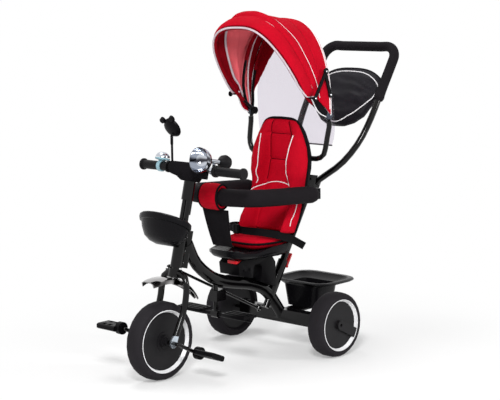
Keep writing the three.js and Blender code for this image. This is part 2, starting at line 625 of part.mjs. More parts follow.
for (const s of [1, -1]) {
  const end = barHalf + 5;
  const inner = barRadius + gap;
  const profile = [
    [0, barHalf + gap], [inner, barHalf + gap], [inner, grip.inner], [grip.flange, grip.inner],
    [grip.flange, grip.inner + grip.flangeWide], [grip.radius, grip.inner + grip.flangeWide + 2],
    [grip.radius, end - grip.flangeWide - 2], [grip.flange, end - grip.flangeWide],
    [grip.flange, end - 2], [grip.flange - 3, end], [0, end],
  ];
  piece(bars, `grip_${sideName(s)}`, turnedX(profile.map(([r, x]) => [r, s * x]), 16), foamRubber);
}

// A clamp ring round the bar or a grip, open to nothing, with its bore along X.
const clampRing = (x, inner, outer, wide) => turnedX([
  [inner, x - wide / 2], [outer, x - wide / 2], [outer, x + wide / 2], [inner, x + wide / 2],
  [inner, x - wide / 2]], 16);

const bellBaseHeight = 24;
const bellBase = cut(
  join(
    clampRing(bellPlace, grip.radius + gap, grip.radius + 3.5, 13),
    turnedZ([[0, 16], [9, 16], [23, bellBaseHeight - 5], [24, bellBaseHeight], [0, bellBaseHeight]], 20,
      shift(bellPlace, 0, 0)),
    rod(P(bellPlace, 0, bellBaseHeight - 2), P(bellPlace, 0, bellBaseHeight + 4), 4, 10),
  ),
  rod(P(bellPlace - 30, 0, 0), P(bellPlace + 30, 0, 0), grip.radius + gap, 16),
);
piece(bars, 'bell_base', bellBase, paleBlue);
const bellBoss = 5;
const bellDome = turnedZ([
  [4 + gap, bellBaseHeight + gap], [8, bellBaseHeight + gap], [8, bellBaseHeight + 2],
  [19, bellBaseHeight + 2], [22.5, bellBaseHeight + 2], [22, bellBaseHeight + 7], [18, bellBaseHeight + 13],
  [10, bellBaseHeight + 18], [0, bellBaseHeight + 19], [0, bellBaseHeight + bellBoss],
  [4 + gap, bellBaseHeight + bellBoss], [4 + gap, bellBaseHeight + gap]], 20, shift(bellPlace, 0, 0));
piece(bars, 'bell_dome', bellDome, chrome);
// Mirror: a clamp and stem, and a round back with two small ears; the glass faces the rider.
const mirrorJoint = { y: -21.2, z: 91.1, radius: 5 }; // ball on the stem that the housing tilts about
const mirrorHead = { radius: 32, pitch: 26, roll: -10, depth: 13 };
function mirrorBack() {
  const cup = turnedZ([
    [0, 0], [18, 1], [28, 5], [mirrorHead.radius, mirrorHead.depth - 2], [mirrorHead.radius, mirrorHead.depth],
    [28, mirrorHead.depth], [28, mirrorHead.depth - 3], [0, mirrorHead.depth - 3]], 24);
  const ears = [35, -35].map((tilt) => {
    const [x, y] = [37 * Math.sin(rad(tilt)), -37 * Math.cos(rad(tilt))];
    return placed(new THREE.CylinderGeometry(10.5, 8.5, 9, 14), shift(x, y, 7).multiply(turnX(90)));
  });
  const seatOfGlass = turnedZ([[0, mirrorHead.depth - 3], [28, mirrorHead.depth - 3], [28, 40], [0, 40]], 24);
  return cut(join(cup, ...ears), seatOfGlass);
}
const mirror = new THREE.Group();
mirror.position.set(mirrorPlace, 0, 0);
bars.add(mirror);
piece(mirror, 'mirror_stem', join(
  clampRing(0, barRadius + gap, barRadius + 5, 9),
  rod(P(0, 0, barRadius + 3), P(0, mirrorJoint.y + 6, mirrorJoint.z - 22), 3.5, 8),
  rod(P(0, mirrorJoint.y + 6, mirrorJoint.z - 24), P(0, mirrorJoint.y, mirrorJoint.z), 4.5, 8),
  ball(P(0, mirrorJoint.y, mirrorJoint.z), mirrorJoint.radius, 10),
), blackPlastic);
const mirrorTilt = new THREE.Group();
mirrorTilt.position.set(0, -33, 110);
mirrorTilt.rotation.x = rad(casterAngle + mirrorHead.pitch - 90);
mirror.add(mirrorTilt);
const back = piece(mirrorTilt, 'mirror_housing', mirrorBack(), blackPlastic);
back.rotation.z = rad(mirrorHead.roll);
const glass = turnedZ([[0, mirrorHead.depth - 3 + gap], [28 - gap, mirrorHead.depth - 3 + gap],
  [28 - gap, mirrorHead.depth], [0, mirrorHead.depth]], 24);
piece(mirrorTilt, 'mirror_glass', glass, mirrorGlass);

// Horn: a chrome bell mouth on a neck and clamp, and a rubber bulb behind it.
const hornAxis = 29;                // height of the horn above the bar
const hornSlope = -5.5;               // degrees, in the steering frame
const horn = new THREE.Group();
horn.position.set(hornPlace, 0, 0);
bars.add(horn);
const hornLine = shift(0, 0, hornAxis).multiply(turnX(180 - hornSlope));
const trumpet = placed(lathe([
  [0, -27], [7, -27], [7, 22], [12, 27], [22, 33], [31, 42], [36.5, 53], [38.5, 65], [38.5, 68], [36.5, 68],
  [34.8, 55], [29.5, 44.5], [20.5, 35.5], [10, 29], [0, 27]], 20), hornLine);
const hornPost = rod(P(0, 0, barRadius + 2), P(0, 0, hornAxis - 5), 4.5, 8);
piece(horn, 'horn_trumpet', join(trumpet, clampRing(0, barRadius + gap, barRadius + 4.5, 9), hornPost), chrome);
const bulb = placed(lathe([
  [0, -64], [10, -62], [19, -56], [23, -45], [21, -34], [13, -25], [9.5, -19], [7 + gap, -19],
  [7 + gap, -27 - gap], [0, -27 - gap]], 20), hornLine);
piece(horn, 'horn_bulb', bulb, foamRubber);

// Front basket: a half bowl under a broad rolled rim that rises to the front, with a flat back, hooked on
// the stem. share says how much of the rim's slope a ring takes.
const basketSides = 20;
function basketRing(grow, z, scale, share, shiftY = 0) {
  const middle = -(basket.front + basket.back) / 2 + shiftY;
  const a = basket.halfWidth * scale + grow;
  const b = ((basket.front - basket.back) / 2) * scale + grow;
  return Array.from({ length: basketSides }, (_, i) => {
    const angle = (2 * Math.PI * i) / basketSides;
    const y = Math.min(middle + b * Math.sin(angle), -basket.back - (grow < 0 ? basket.wall : 0));
    return P(a * Math.cos(angle), y, z + share * basket.rise * (-basket.back - y));
  });
}
function basketSolid() {
  const t = basket.wall;
  const { rim, foot, band } = basket;
  const bowl = [[foot, 0.36, 0, 16], [foot + 6, 0.6, 0.1, 10], [foot + 16, 0.79, 0.3, 5],
    [foot + 30, 0.91, 0.7, 2]];
  const outer = loft([
    ...bowl.map(([z, ...rest]) => basketRing(0, z, ...rest)),
    basketRing(0, rim - band, 0.96, 1), basketRing(0, rim - band + 1, 1.03, 1),
    basketRing(0, rim - band * 0.6, 1.06, 1),
    basketRing(0, rim - band * 0.2, 1.05, 1), basketRing(0, rim, 1, 1)]);
  const inner = loft([
    ...bowl.map(([z, ...rest]) => basketRing(-t, z + t, ...rest)),
    basketRing(-t, rim - band + t, 0.96, 1), basketRing(-t, rim + 2, 0.97, 1)]);
  return cut(outer, inner);
}
piece(steering, 'front_basket', basketSolid(), blackPlastic);

// ---------------------------------------------------------------- parent handle

const crankArm = join(
  rod(P(0, 0, socket.below - gap), P(0, 0, postArm.height - 4), postRadius, 14),
  block(rodArm + 6, 14, 5, -rodArm / 2 - 3, 0, postArm.height),
  rod(P(-rodArm, 0, postArm.height), P(-rodArm, 0, postArm.pinFoot), rodPin, 8),
);
const postTube = rod(P(0, 0, socket.below - 1), P(0, 0, postLength - 16), postRadius, 14);
const jointBlock = join(
  block(52, 24, 34, 0, 0, postLength - 17 - gap),
  ...[1, -1].map((s) => block(52, 3.5, 62, 0, s * (handle.radius + gap + 1.75), postLength - 3)),
  ...[-12, 14].map((z) => rod(P(0, -19, postLength + z), P(0, 19, postLength + z), 3, 8)),
);
const handleHeight = (along) => postLength + along;
const sidePoints = [[11.5, -12], [28, 20], [62, 50], [92, 80], [119, 125], [138, 178], [147, 240],
  [handle.half, 300], [handle.half, 370], [handle.half + 2, handle.top - handle.corner]];
const cornerPoints = [[handle.half + 1, handle.top - 34], [handle.half - 12, handle.top - 12],
  [handle.half - 34, handle.top], [handle.half - 70, handle.top]];
const handlePath = smooth(mirrored([...sidePoints, ...cornerPoints, [0, handle.top]]
  .map(([x, z]) => P(x, 0, handleHeight(z)))));
// Part of the handle's path between two shares of its length.
class PartOfPath extends THREE.Curve {
  constructor(path, from, to) {
    super();
    Object.assign(this, { path, from, to });
  }

  getPoint(t, target = P(0, 0, 0)) {
    return this.path.getPointAt(this.from + (this.to - this.from) * t, target);
  }
}
const pathLength = handlePath.getLength();
const foamStart = [...Array(400).keys()].map((i) => i / 400)
  .find((u) => handlePath.getPointAt(u).z > handleHeight(handle.foamStart));
piece(pushHandle, 'handle_post', join(crankArm, postTube, jointBlock), blackPaint);
const handleTube = (grow) => cut(
  sweep(handlePath, ellipseShape(handle.radius + grow, handle.radius + grow, 8), Math.round(pathLength / 34)),
  block(80, 80, 60, 0, 0, postLength - 30 + gap));
piece(pushHandle, 'handle_tube', handleTube(0), blackPaint);
piece(pushHandle, 'handle_foam', cut(
  sweep(new PartOfPath(handlePath, foamStart, 1 - foamStart), ellipseShape(handle.foam, handle.foam, 10), 26),
  handleTube(runningGap)), foamRubber);

// Storage bag slung between the handle's sides; its top falls towards them.
const bagFall = 38;
function bagSolid() {
  const rings = [];
  const high = bag.top - bag.foot;
  for (const [share, wide, deep] of [[0, 0.3, 0.3], [0.07, 0.55, 0.6], [0.2, 0.78, 0.85], [0.5, 0.97, 1],
    [0.85, 1, 0.9], [1, 0.99, 0.66]]) {
    const z = handleHeight(bag.foot + high * share);
    const w = bag.halfWidth * wide;
    const middle = (bag.front + bag.back) / 2;
    const d = ((bag.back - bag.front) / 2) * deep;
    const fall = bagFall * share ** 4;
    rings.push([[1, 0], [0.93, 0.6], [0.6, 0.95], [0, 1], [-0.6, 0.95], [-0.93, 0.6], [-1, 0], [-0.93, -0.6],
      [-0.6, -0.95], [0, -1], [0.6, -0.95], [0.93, -0.6],
    ].map(([x, y]) => P(x * w, middle + y * d, z - fall * x * x)));
  }
  const tabs = [1, -1].map((s) => block(
    30, 12, 16, s * (handle.half - handle.foam + gap - 15), 0, handleHeight(bag.top - bagFall - 14)));
  return join(loft(rings), ...tabs);
}
piece(pushHandle, 'storage_bag', bagSolid(), blackFabric);

// Release lever behind the socket's mouth, close along the post.
const leverFoot = { y: socket.radius + gap, z: socket.above - 12 };
const releaseSolid = join(
  rod(P(-8, 5, 0), P(8, 5, 0), 5, 10),
  plateYZ([[0.6, 0], [8, -2], [10, 20], [10, 44], [5, 46], [3, 22]], -6, 6),
);
piece(pushHandle, 'release_lever', releaseSolid, redPlastic).position.set(0, leverFoot.y, leverFoot.z);

// ---------------------------------------------------------------- seat

const seat = new THREE.Group();
seat.position.set(0, seatAxis, 0);
build.add(seat);
const seatY = (y) => y - seatAxis;

const latchTab = { wide: 38, high: 7, x: 20, z: seatBaseTop - 3 };
function seatBaseSolid() {
  const { halfWide, front: f, back: b } = seatBase;
  const body = plateYZ([
    [f, 272], [f + 60, 256], [f + 64, 288], [f + 72, 297], [f + 92, 297], [f + 102, 288], [f + 106, 236],
    [b, 212],
    [b, 292], [b - 18, seatBaseTop], [f + 10, seatBaseTop], [f - 4, seatBaseTop - 10]], -halfWide, halfWide);
  const bolts = [f + 20, f + 46].map((y) => rod(P(halfWide - 2, y, 286), P(halfWide + 4, y, 286), 4, 8));
  const latchSlot = block(latchTab.wide + 2 * gap, 40, latchTab.high + 2 * gap, latchTab.x, f + 4, latchTab.z);
  return cut(join(body, ...bolts), spineSolid(gap), latchSlot);
}
piece(build, 'seat_base', seatBaseSolid(), blackPlastic);

// Swivel latch: a red tab that is pulled forward out of the base.
const latchPlace = P(latchTab.x, seatBase.front, latchTab.z);
const latchSolid = join(
  block(latchTab.wide, 26, latchTab.high, 0, 6, 0),
  block(latchTab.wide, 5, latchTab.high + 3, 0, -8, 0),
);
piece(build, 'swivel_latch', latchSolid, redPlastic).position.copy(latchPlace);

// Plan outline of the seat, widest behind and rounded in front, with a share of the dip for each thigh;
// grow moves it outward.
function panRing(grow, z, lift = 0, dip = 0) {
  const outline = [[0, seatFrontY, 0], [-46, seatFrontY + 6, 0.1], [-78, seatFrontY + 28, 0.8],
    [-94, seatFrontY + 66, 1], [-104, seatFrontY + 122, 0], [-107, seatRearY - 40, 0], [-98, seatRearY - 6, 0],
    [-60, seatRearY, 0], [0, seatRearY, 0]];
  const all = [...outline, ...outline.slice(1, -1).reverse().map(([x, y, share]) => [-x, y, share])];
  const center = [0, (seatFrontY + seatRearY) / 2];
  return all.map(([x, y, low]) => {
    const [dx, dy] = [x - center[0], y - center[1]];
    const far = Math.hypot(dx, dy);
    const share = (far + grow) / far;
    return P(center[0] + dx * share, seatY(center[1] + dy * share), z + lift * (dy / 120) - dip * low);
  });
}
function backAt(z) {
  const i = Math.max(1, backLine.findIndex(([height]) => height >= z));
  const [[z0, y0], [z1, y1]] = [backLine[i - 1], backLine[i]];
  return y0 + ((z - z0) / (z1 - z0)) * (y1 - y0);
}
const backSlices = [[backPlate.foot, 88], [386, 92], [430, 98], [480, 103], [548, 108], [585, 115], [623, 116],
  [665, 106], [700, 90], [730, 68]];
function panSolid(up) {
  const foot = panTop - panHeight + up;
  const top = panTop + up;
  return cut(
    loft([panRing(-26, foot), panRing(-6, foot + 9), panRing(0, foot + 20, 2, 4), panRing(0, top, 4, thighDip)]),
    loft([panRing(-40, top - 15), panRing(-12, top - 8, 2), panRing(-5, top + 5, 4)]));
}
function seatShellSolid() {
  const foot = panTop - panHeight;
  const turntable = rod(P(0, 0, seatBaseTop + gap), P(0, 0, foot + 4), 38, 20);
  const plate = loft(backSlices.map(([z, wide]) => {
    const y = seatY(backAt(z));
    return [P(wide, y, z), P(-wide, y, z), P(-wide, y + backPlate.thick, z), P(wide, y + backPlate.thick, z)];
  }));
  const heel = block(150, 24, 22, 0, seatY(seatRearY + 7), backPlate.foot - 6);
  const lugY = bumper.rearY + bumper.foam + gap + 4.5;
  const lugs = [1, -1].map((s) => block(54, 9, 34, s * (bumper.half - 18), seatY(lugY), bumper.height));
  const armFoot = backAt(bumper.height + 13) + 1;
  const arms = [1, -1].map((s) => block(
    26, lugY - armFoot, 26, s * 96, seatY((lugY + armFoot) / 2), bumper.height));
  return join(panSolid(0), turntable, plate, heel, ...lugs, ...arms);
}
piece(seat, 'seat_shell', seatShellSolid(), blackPlastic);

// Seat cushion: the pan's outline, but it stops well short of the pan's front lip.
const cushionShare = 0.68;          // of the pan's length
const cushionRing = (grow, z, lift) => {
  const back = seatY(seatRearY);
  return panRing(grow, z, lift).map((p) => P(p.x, back + (p.y - back) * cushionShare, p.z));
};
const cushionTop = panTop + 23;
piece(seat, 'seat_cushion', cut(loft([
  cushionRing(-44, panTop - 15), cushionRing(-20, panTop - 5, 1), cushionRing(-15, panTop + 8, 2),
  cushionRing(-20, panTop + 18, 2), cushionRing(-38, cushionTop)]), panSolid(gap)), redFabric);

// Backrest cushion: level slices. The bolsters at its sides come forward, most of all at the foot.
function backCushionSolid() {
  const slices = [[386, 100, 20, 54], [430, 104, 20, 50], [480, 106, 20, 32], [548, 107, 20, 20], [585, 114, 20, 20],
    [623, 115, 20, 19], [665, 106, 20, 15], [700, 90, 19, 10], [730, 70, 15, 5], [740, 58, 9, 2]];
  return loft(slices.map(([z, wide, deep, wing]) => {
    const rear = seatY(backAt(z)) - gap * 1.4;
    const front = rear - deep;
    const inner = wide - 28;
    const y = front - wing;
    const edge = Math.min(8, (deep + wing) / 3);
    return [P(wide - 8, rear, z), P(-wide + 8, rear, z), P(-wide, rear - edge, z), P(-wide, y + edge, z),
      P(-wide + 8, y, z), P(-inner - 8, y, z), P(-inner, front - wing * 0.35, z), P(-inner + 8, front, z),
      P(inner - 8, front, z), P(inner, front - wing * 0.35, z), P(inner + 8, y, z), P(wide - 8, y, z),
      P(wide, y + edge, z), P(wide, rear - edge, z)];
  }));
}
piece(seat, 'backrest_cushion', backCushionSolid(), redFabric);

// Lap belt: a strap that bows forward over the seat, with its loose end past the left rear corner.
function strap(points, wide, thick, steps) {
  const curve = smooth(points);
  const rings = [];
  for (let i = 0; i <= steps; i += 1) {
    const p = curve.getPointAt(i / steps);
    const t = curve.getTangentAt(i / steps);
    const out = P(t.y, -t.x, 0).normalize();
    const corner = (a, b) => p.clone().addScaledVector(out, a * thick / 2).add(P(0, 0, b * wide / 2));
    rings.push([corner(1, 1), corner(1, -1), corner(-1, -1), corner(-1, 1)]);
  }
  return loft(rings);
}
const beltPoints = [[131, -34, 347], [109, -66, 370], [105.4, -96, 381], [98, -128, 392],
  [78, -153, 399], [45, -168, 402], [0, -172, 402], [-45, -168, 404], [-82, -150, 403], [-103.9, -104, 399],
  [-103.5, -62, 392]];
const beltStrap = strap(beltPoints.map(([x, y, z]) => P(x, seatY(y), z)), belt.wide, belt.thick, 22);
const buckle = block(26, 12, 36, -30, seatY(-173), 404);
piece(seat, 'lap_belt', join(beltStrap, buckle), blackFabric);

// Bumper: a foam ring with ball ends, a red pad in front and a crotch strap down to the seat.
const bumperRing = new THREE.Group();
bumperRing.position.set(0, seatY(0), 0);
seat.add(bumperRing);
const bumperSide = [[bumper.half, bumper.rearY, bumper.height], [bumper.half, -80, bumper.height + 5],
  [bumper.half - 1, -165, bumper.height + 10], [bumper.half - 7, -238, bumper.height + 15],
  [bumper.half - 27, bumper.frontY + 21, bumper.frontHeight], [58, bumper.frontY + 3, bumper.frontHeight],
  [0, bumper.frontY, bumper.frontHeight]];
const bumperPath = smooth(mirrored(bumperSide.map(([x, y, z]) => P(x, y, z))));
const bumperSolid = (grow) => join(
  sweep(bumperPath, ellipseShape(bumper.foam + grow, bumper.foam + grow, 12), 20),
  ...[1, -1].map((s) => ball(P(s * bumper.half, bumper.rearY, bumper.height), bumper.foam + grow, 12)),
);
piece(bumperRing, 'bumper_ring', bumperSolid(0), foamRubber);
const padHalf = 39;
const padSpan = [...Array(200).keys()].map((i) => i / 200).find((u) => bumperPath.getPointAt(u).x < padHalf);
const padOuter = sweep(new PartOfPath(bumperPath, padSpan, 1 - padSpan), ellipseShape(41, 32, 16), 6);
piece(bumperRing, 'bumper_pad', cut(padOuter, bumperSolid(runningGap)), redFabric);
const crotchTop = bumper.frontHeight - 41 - gap;
const crotchSlices = [[crotchTop, 55, bumper.frontY + 6], [450, 51, -289], [410, 46, -280], [367, 41, -267]];
const crotch = loft(crotchSlices.map(([z, wide, y]) => [
  P(wide, y - 3, z), P(wide, y + 3, z), P(-wide, y + 3, z), P(-wide, y - 3, z)]));
piece(bumperRing, 'crotch_strap', crotch, blackFabric);

// ---------------------------------------------------------------- canopy

const canopy = new THREE.Group();
canopy.position.set(0, seatY(0), 0);
seat.add(canopy);

// Support tube: a U behind the backrest whose legs rise to the hoop pivots.
const supportFoot = { z: 617, y: backAt(617) + backPlate.thick + canopyTube + 4 };
const supportTop = canopyPivot.z - 4;
const supportSide = [[canopyPivot.x, canopyPivot.y, supportTop],
  [canopyPivot.x, canopyPivot.y - 0.4, supportTop - 16], [canopyPivot.x - 2, 43, 690],
  [canopyPivot.x - 5, supportFoot.y, 655], [canopyPivot.x - 16, supportFoot.y, 628],
  [canopyPivot.x - 40, supportFoot.y, supportFoot.z], [70, supportFoot.y, supportFoot.z],
  [0, supportFoot.y, supportFoot.z]];
const supportPath = smooth(mirrored(supportSide.map(([x, y, z]) => P(x, y, z))));
const clampHeight = 26;
const supportClamps = [1, -1].map((s) => {
  const rear = backAt(supportFoot.z + clampHeight / 2) + backPlate.thick + gap;
  return block(24, supportFoot.y - rear, clampHeight, s * 62, (supportFoot.y + rear) / 2, supportFoot.z);
});
const supportTube = sweep(supportPath, ellipseShape(canopyTube, canopyTube, 8), 30);
piece(canopy, 'canopy_support', join(supportTube, ...supportClamps), blackPaint);

// Ribs: half loops over the canopy pivot. Each has a foot at the side and a crest above the middle, and
// its sides lead forward of the straight line between them.
const ribs = {
  rim: { foot: [157, -49, 820], crest: [0, -177, 1040], bow: 0.72, lead: 15 },
  seam: { foot: [158, -12, 820], crest: [0, -118, 1076], bow: 0.82, lead: 8 },
  middle: { foot: [167, 7, 798], crest: [0, -6, 1052], bow: 0.97, lead: 0 },
  rear: { foot: [171, 52, 757], crest: [0, 62, 1048], bow: 0.88, lead: 0 },
};
// A point of a rib: turn 0 is its foot on the side s, turn 1 its crest; grow moves it outward.
function ribPoint(rib, s, turn, grow) {
  const angle = (Math.PI / 2) * turn;
  const wide = Math.cos(angle) ** rib.bow;
  const rise = Math.sin(angle) ** rib.bow;
  const foot = P(...rib.foot);
  const crest = P(...rib.crest);
  const up = crest.clone().sub(foot).setX(0);
  const length = up.length();
  up.normalize();
  const p = P(0, foot.y, foot.z).addScaledVector(up, rise * (length + grow));
  p.x = s * wide * (foot.x + grow);
  p.y -= rib.lead * Math.sin(Math.PI * turn);
  return p;
}
const turns = [0, 0.12, 0.24, 0.36, 0.48, 0.6, 0.72, 0.84, 1];
const ribLine = (rib, grow, firstTurn = 0) => {
  const used = turns.filter((t) => t >= firstTurn);
  return [
    ...used.map((t) => ribPoint(rib, 1, t, grow)),
    ...used.slice(0, -1).reverse().map((t) => ribPoint(rib, -1, t, grow)),
  ];
};
const blend = (a, b, share) => ({
  foot: a.foot.map((v, i) => v + (b.foot[i] - v) * share),
  crest: a.crest.map((v, i) => v + (b.crest[i] - v) * share),
  bow: a.bow + (b.bow - a.bow) * share,
  lead: a.lead + (b.lead - a.lead) * share,
});
// Fabric between ribs: an outer and an inner line make each slice of one closed sheet.
function fabric(list, inset) {
  return loft(list.map((rib) => [
    ...ribLine(rib, inset + fabricThick), ...ribLine(rib, inset).reverse()]));
}
const hoopInset = -hoopTube - gap - 1.3;

// Hoops: tubes under the fabric whose ends lead down to the pivots on the support legs.
const hubAt = (s, y, z) => P(s * (canopyPivot.x + 1), y, z);
function hoopSolid(rib, lead, firstTurn) {
  const line = ribLine(rib, hoopInset, firstTurn);
  const start = lead.map(([x, y, z]) => P(x, y, z));
  const path = smooth([...start, ...line, ...start.slice().reverse().map((p) => P(-p.x, p.y, p.z))]);
  return sweep(path, ellipseShape(hoopTube, hoopTube, 6), 24);
}
const pivotHub = (s, x0, x1, radius) => rod(
  P(s * x0, canopyPivot.y, canopyPivot.z + 16), P(s * x1, canopyPivot.y, canopyPivot.z + 16), radius, 14);
const hubLayer = { rear: [158, 169], front: [147, 158 - gap] };
const rearHoops = join(
  hoopSolid(ribs.rear, [[165, canopyPivot.y + 4, canopyPivot.z + 18], [162, 54, 786]], 0.12),
  hoopSolid(ribs.middle, [[165, canopyPivot.y - 4, canopyPivot.z + 18], [161, 22, 782]], 0.12),
  ...[1, -1].flatMap((s) => [
    pivotHub(s, ...hubLayer.rear, 13),
    rod(P(s * 166, canopyPivot.y, canopyPivot.z + 16), P(s * 166, canopyPivot.y, supportTop + gap * 1.5), 6, 8),
  ]),
);
piece(canopy, 'rear_hoops', rearHoops, blackPlastic);
const stay = {
  x: 175, thick: 3.5, width: 12, pin: 3, knuckle: [22, 895], front: [-31, 814.5], rear: [46, 820],
};
const stayPin = (s, [y, z], x0, x1) => rod(P(s * x0, y, z), P(s * x1, y, z), stay.pin, 8);
const frontHoop = join(
  hoopSolid(ribs.rim, [[152, canopyPivot.y - 4, canopyPivot.z + 18], [149, 6, 786], [149, -28, 812]], 0.12),
  ...[1, -1].map((s) => pivotHub(s, ...hubLayer.front, 12)),
  ...[1, -1].map((s) => stayPin(s, stay.front, 150 + hoopInset, stay.x + stay.thick)),
);
piece(canopy, 'front_hoop', frontHoop, blackPlastic);

// Fabric panels: the front one from the rim to the middle rib, the rear one from there to the back.
const seamGap = 0.004;
const frontPanel = fabric([
  ribs.rim, blend(ribs.rim, ribs.seam, 0.25), blend(ribs.rim, ribs.seam, 0.6), ribs.seam,
  blend(ribs.seam, ribs.middle, 0.5), blend(ribs.seam, ribs.middle, 1 - seamGap)], 0);
piece(canopy, 'canopy_front_fabric', frontPanel, redFabric);
const rearPanel = fabric([
  blend(ribs.middle, ribs.rear, seamGap), blend(ribs.middle, ribs.rear, 0.5), ribs.rear], 0);
piece(canopy, 'canopy_rear_fabric', rearPanel, redFabric);

// Side stays: on each side two flat arms that meet in a knuckle, outside the fabric. They fold as the
// front hoop swings back.
for (const s of [1, -1]) {
  const arm = (from, to, layer) => {
    const [a, b] = [P(0, ...from), P(0, ...to)];
    const across = P(0, a.z - b.z, b.y - a.y).normalize().multiplyScalar(stay.width / 2);
    const corners = [
      a.clone().add(across), b.clone().add(across), b.clone().sub(across), a.clone().sub(across)];
    const inner = stay.x + layer * (stay.thick + gap);
    const [m, n] = [s * inner, s * (inner + stay.thick)].sort((p, q) => p - q);
    const eye = (p) => rod(P(m, p.y, p.z), P(n, p.y, p.z), stay.width * 0.6, 10);
    return join(plateYZ(corners.map((p) => [p.y, p.z]), m, n), eye(a), eye(b));
  };
  const rivet = stayPin(s, stay.rear, stay.x - 3.8, stay.x + 1);
  piece(canopy, `canopy_stay_rear_${sideName(s)}`, join(arm(stay.rear, stay.knuckle, 0), rivet), blackPlastic);
  piece(canopy, `canopy_stay_front_${sideName(s)}`, arm(stay.front, stay.knuckle, 1), blackPlastic);
}

// Rear window: a thin film that hangs from the back of the rear hoop, behind the rider.
const windowThick = 1.5;
const windowHem = 656;
function windowRing(z, wide, flare) {
  const [, footY, footZ] = ribs.rear.foot;
  const [, crestY, crestZ] = ribs.rear.crest;
  const share = Math.max(0, (z - footZ) / (crestZ - footZ));
  const y = footY + (crestY - footY) * share + hoopTube + gap + flare;
  return [P(wide, y, z), P(wide, y + windowThick, z), P(-wide, y + windowThick, z), P(-wide, y, z)];
}
const windowSlices = [[windowHem, 148, 27], [760, 150, 22], [810, 154, 17], [850, 151, 12], [900, 145, 6],
  [950, 130, 2], [1010, 90, 0], [1032, 58, 0]]; // height, half width, distance behind the hoop
piece(canopy, 'rear_window', loft(windowSlices.map((slice) => windowRing(...slice))), windowFilm);

// ---------------------------------------------------------------- stand the box on the origin

trike.updateMatrixWorld(true);
const bounds = new THREE.Box3().setFromObject(trike, true);
const middle = bounds.getCenter(P(0, 0, 0));
build.position.set(-middle.x, -middle.y, -bounds.min.z);

export default trike;
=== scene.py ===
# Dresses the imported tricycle: studio, materials, and modelled soft goods that ride on the CAD bodies.
from math import acos, copysign, cos, exp, hypot, pi, radians, sin, sqrt

import bpy
import bmesh
import numpy as np
from mathutils import Matrix, Vector, noise


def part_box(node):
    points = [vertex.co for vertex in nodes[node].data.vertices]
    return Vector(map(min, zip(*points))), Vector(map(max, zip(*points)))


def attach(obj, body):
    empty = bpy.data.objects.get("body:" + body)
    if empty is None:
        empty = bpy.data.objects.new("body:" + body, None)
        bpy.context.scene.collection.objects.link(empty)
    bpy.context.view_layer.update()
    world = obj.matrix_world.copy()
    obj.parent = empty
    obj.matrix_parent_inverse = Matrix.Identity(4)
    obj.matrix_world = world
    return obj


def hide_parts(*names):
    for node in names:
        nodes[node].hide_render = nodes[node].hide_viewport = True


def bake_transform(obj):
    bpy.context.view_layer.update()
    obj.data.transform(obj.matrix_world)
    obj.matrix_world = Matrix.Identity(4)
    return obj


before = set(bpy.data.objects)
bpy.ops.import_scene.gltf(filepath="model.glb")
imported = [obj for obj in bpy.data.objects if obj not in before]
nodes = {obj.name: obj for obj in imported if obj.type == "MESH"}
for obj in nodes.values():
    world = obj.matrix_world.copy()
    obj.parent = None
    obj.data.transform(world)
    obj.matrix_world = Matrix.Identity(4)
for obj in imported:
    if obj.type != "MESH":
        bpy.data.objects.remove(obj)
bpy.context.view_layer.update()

# ---- places
# Lengths are millimetres counted from the rear axle, as in the CAD; at() turns them into the row frame.
low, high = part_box("rear_tyre_left")
AXLE_Y = (low.y + high.y) / 2
FRONT_WHEEL, REAR_WHEEL = (-543, 119), (0, 102.5)  # y and z of the middle of the wheels
REAR_TRACK = 223  # from the middle of the tricycle to the middle of a rear tyre
HANDLE_LEAN = 31.5  # degrees
SIDES = ((1, "left"), (-1, "right"))  # sign of x, and name


def at(x, y, z):
    return Vector((x / 1000, y / 1000 + AXLE_Y, z / 1000))


def leaning(origin, degrees):
    turn = Matrix.Rotation(-radians(degrees), 3, "X")

    def place(x, y, z):
        p = turn @ Vector((x, y, z)) + Vector(origin)
        return at(*p)

    return place


handle = leaning((0, -43.7, 191), HANDLE_LEAN)


# ---- materials


def rgb(red, green, blue):
    def linear(v):
        v /= 255
        return v / 12.92 if v <= 0.04045 else ((v + 0.055) / 1.055) ** 2.4

    return (linear(red), linear(green), linear(blue), 1)


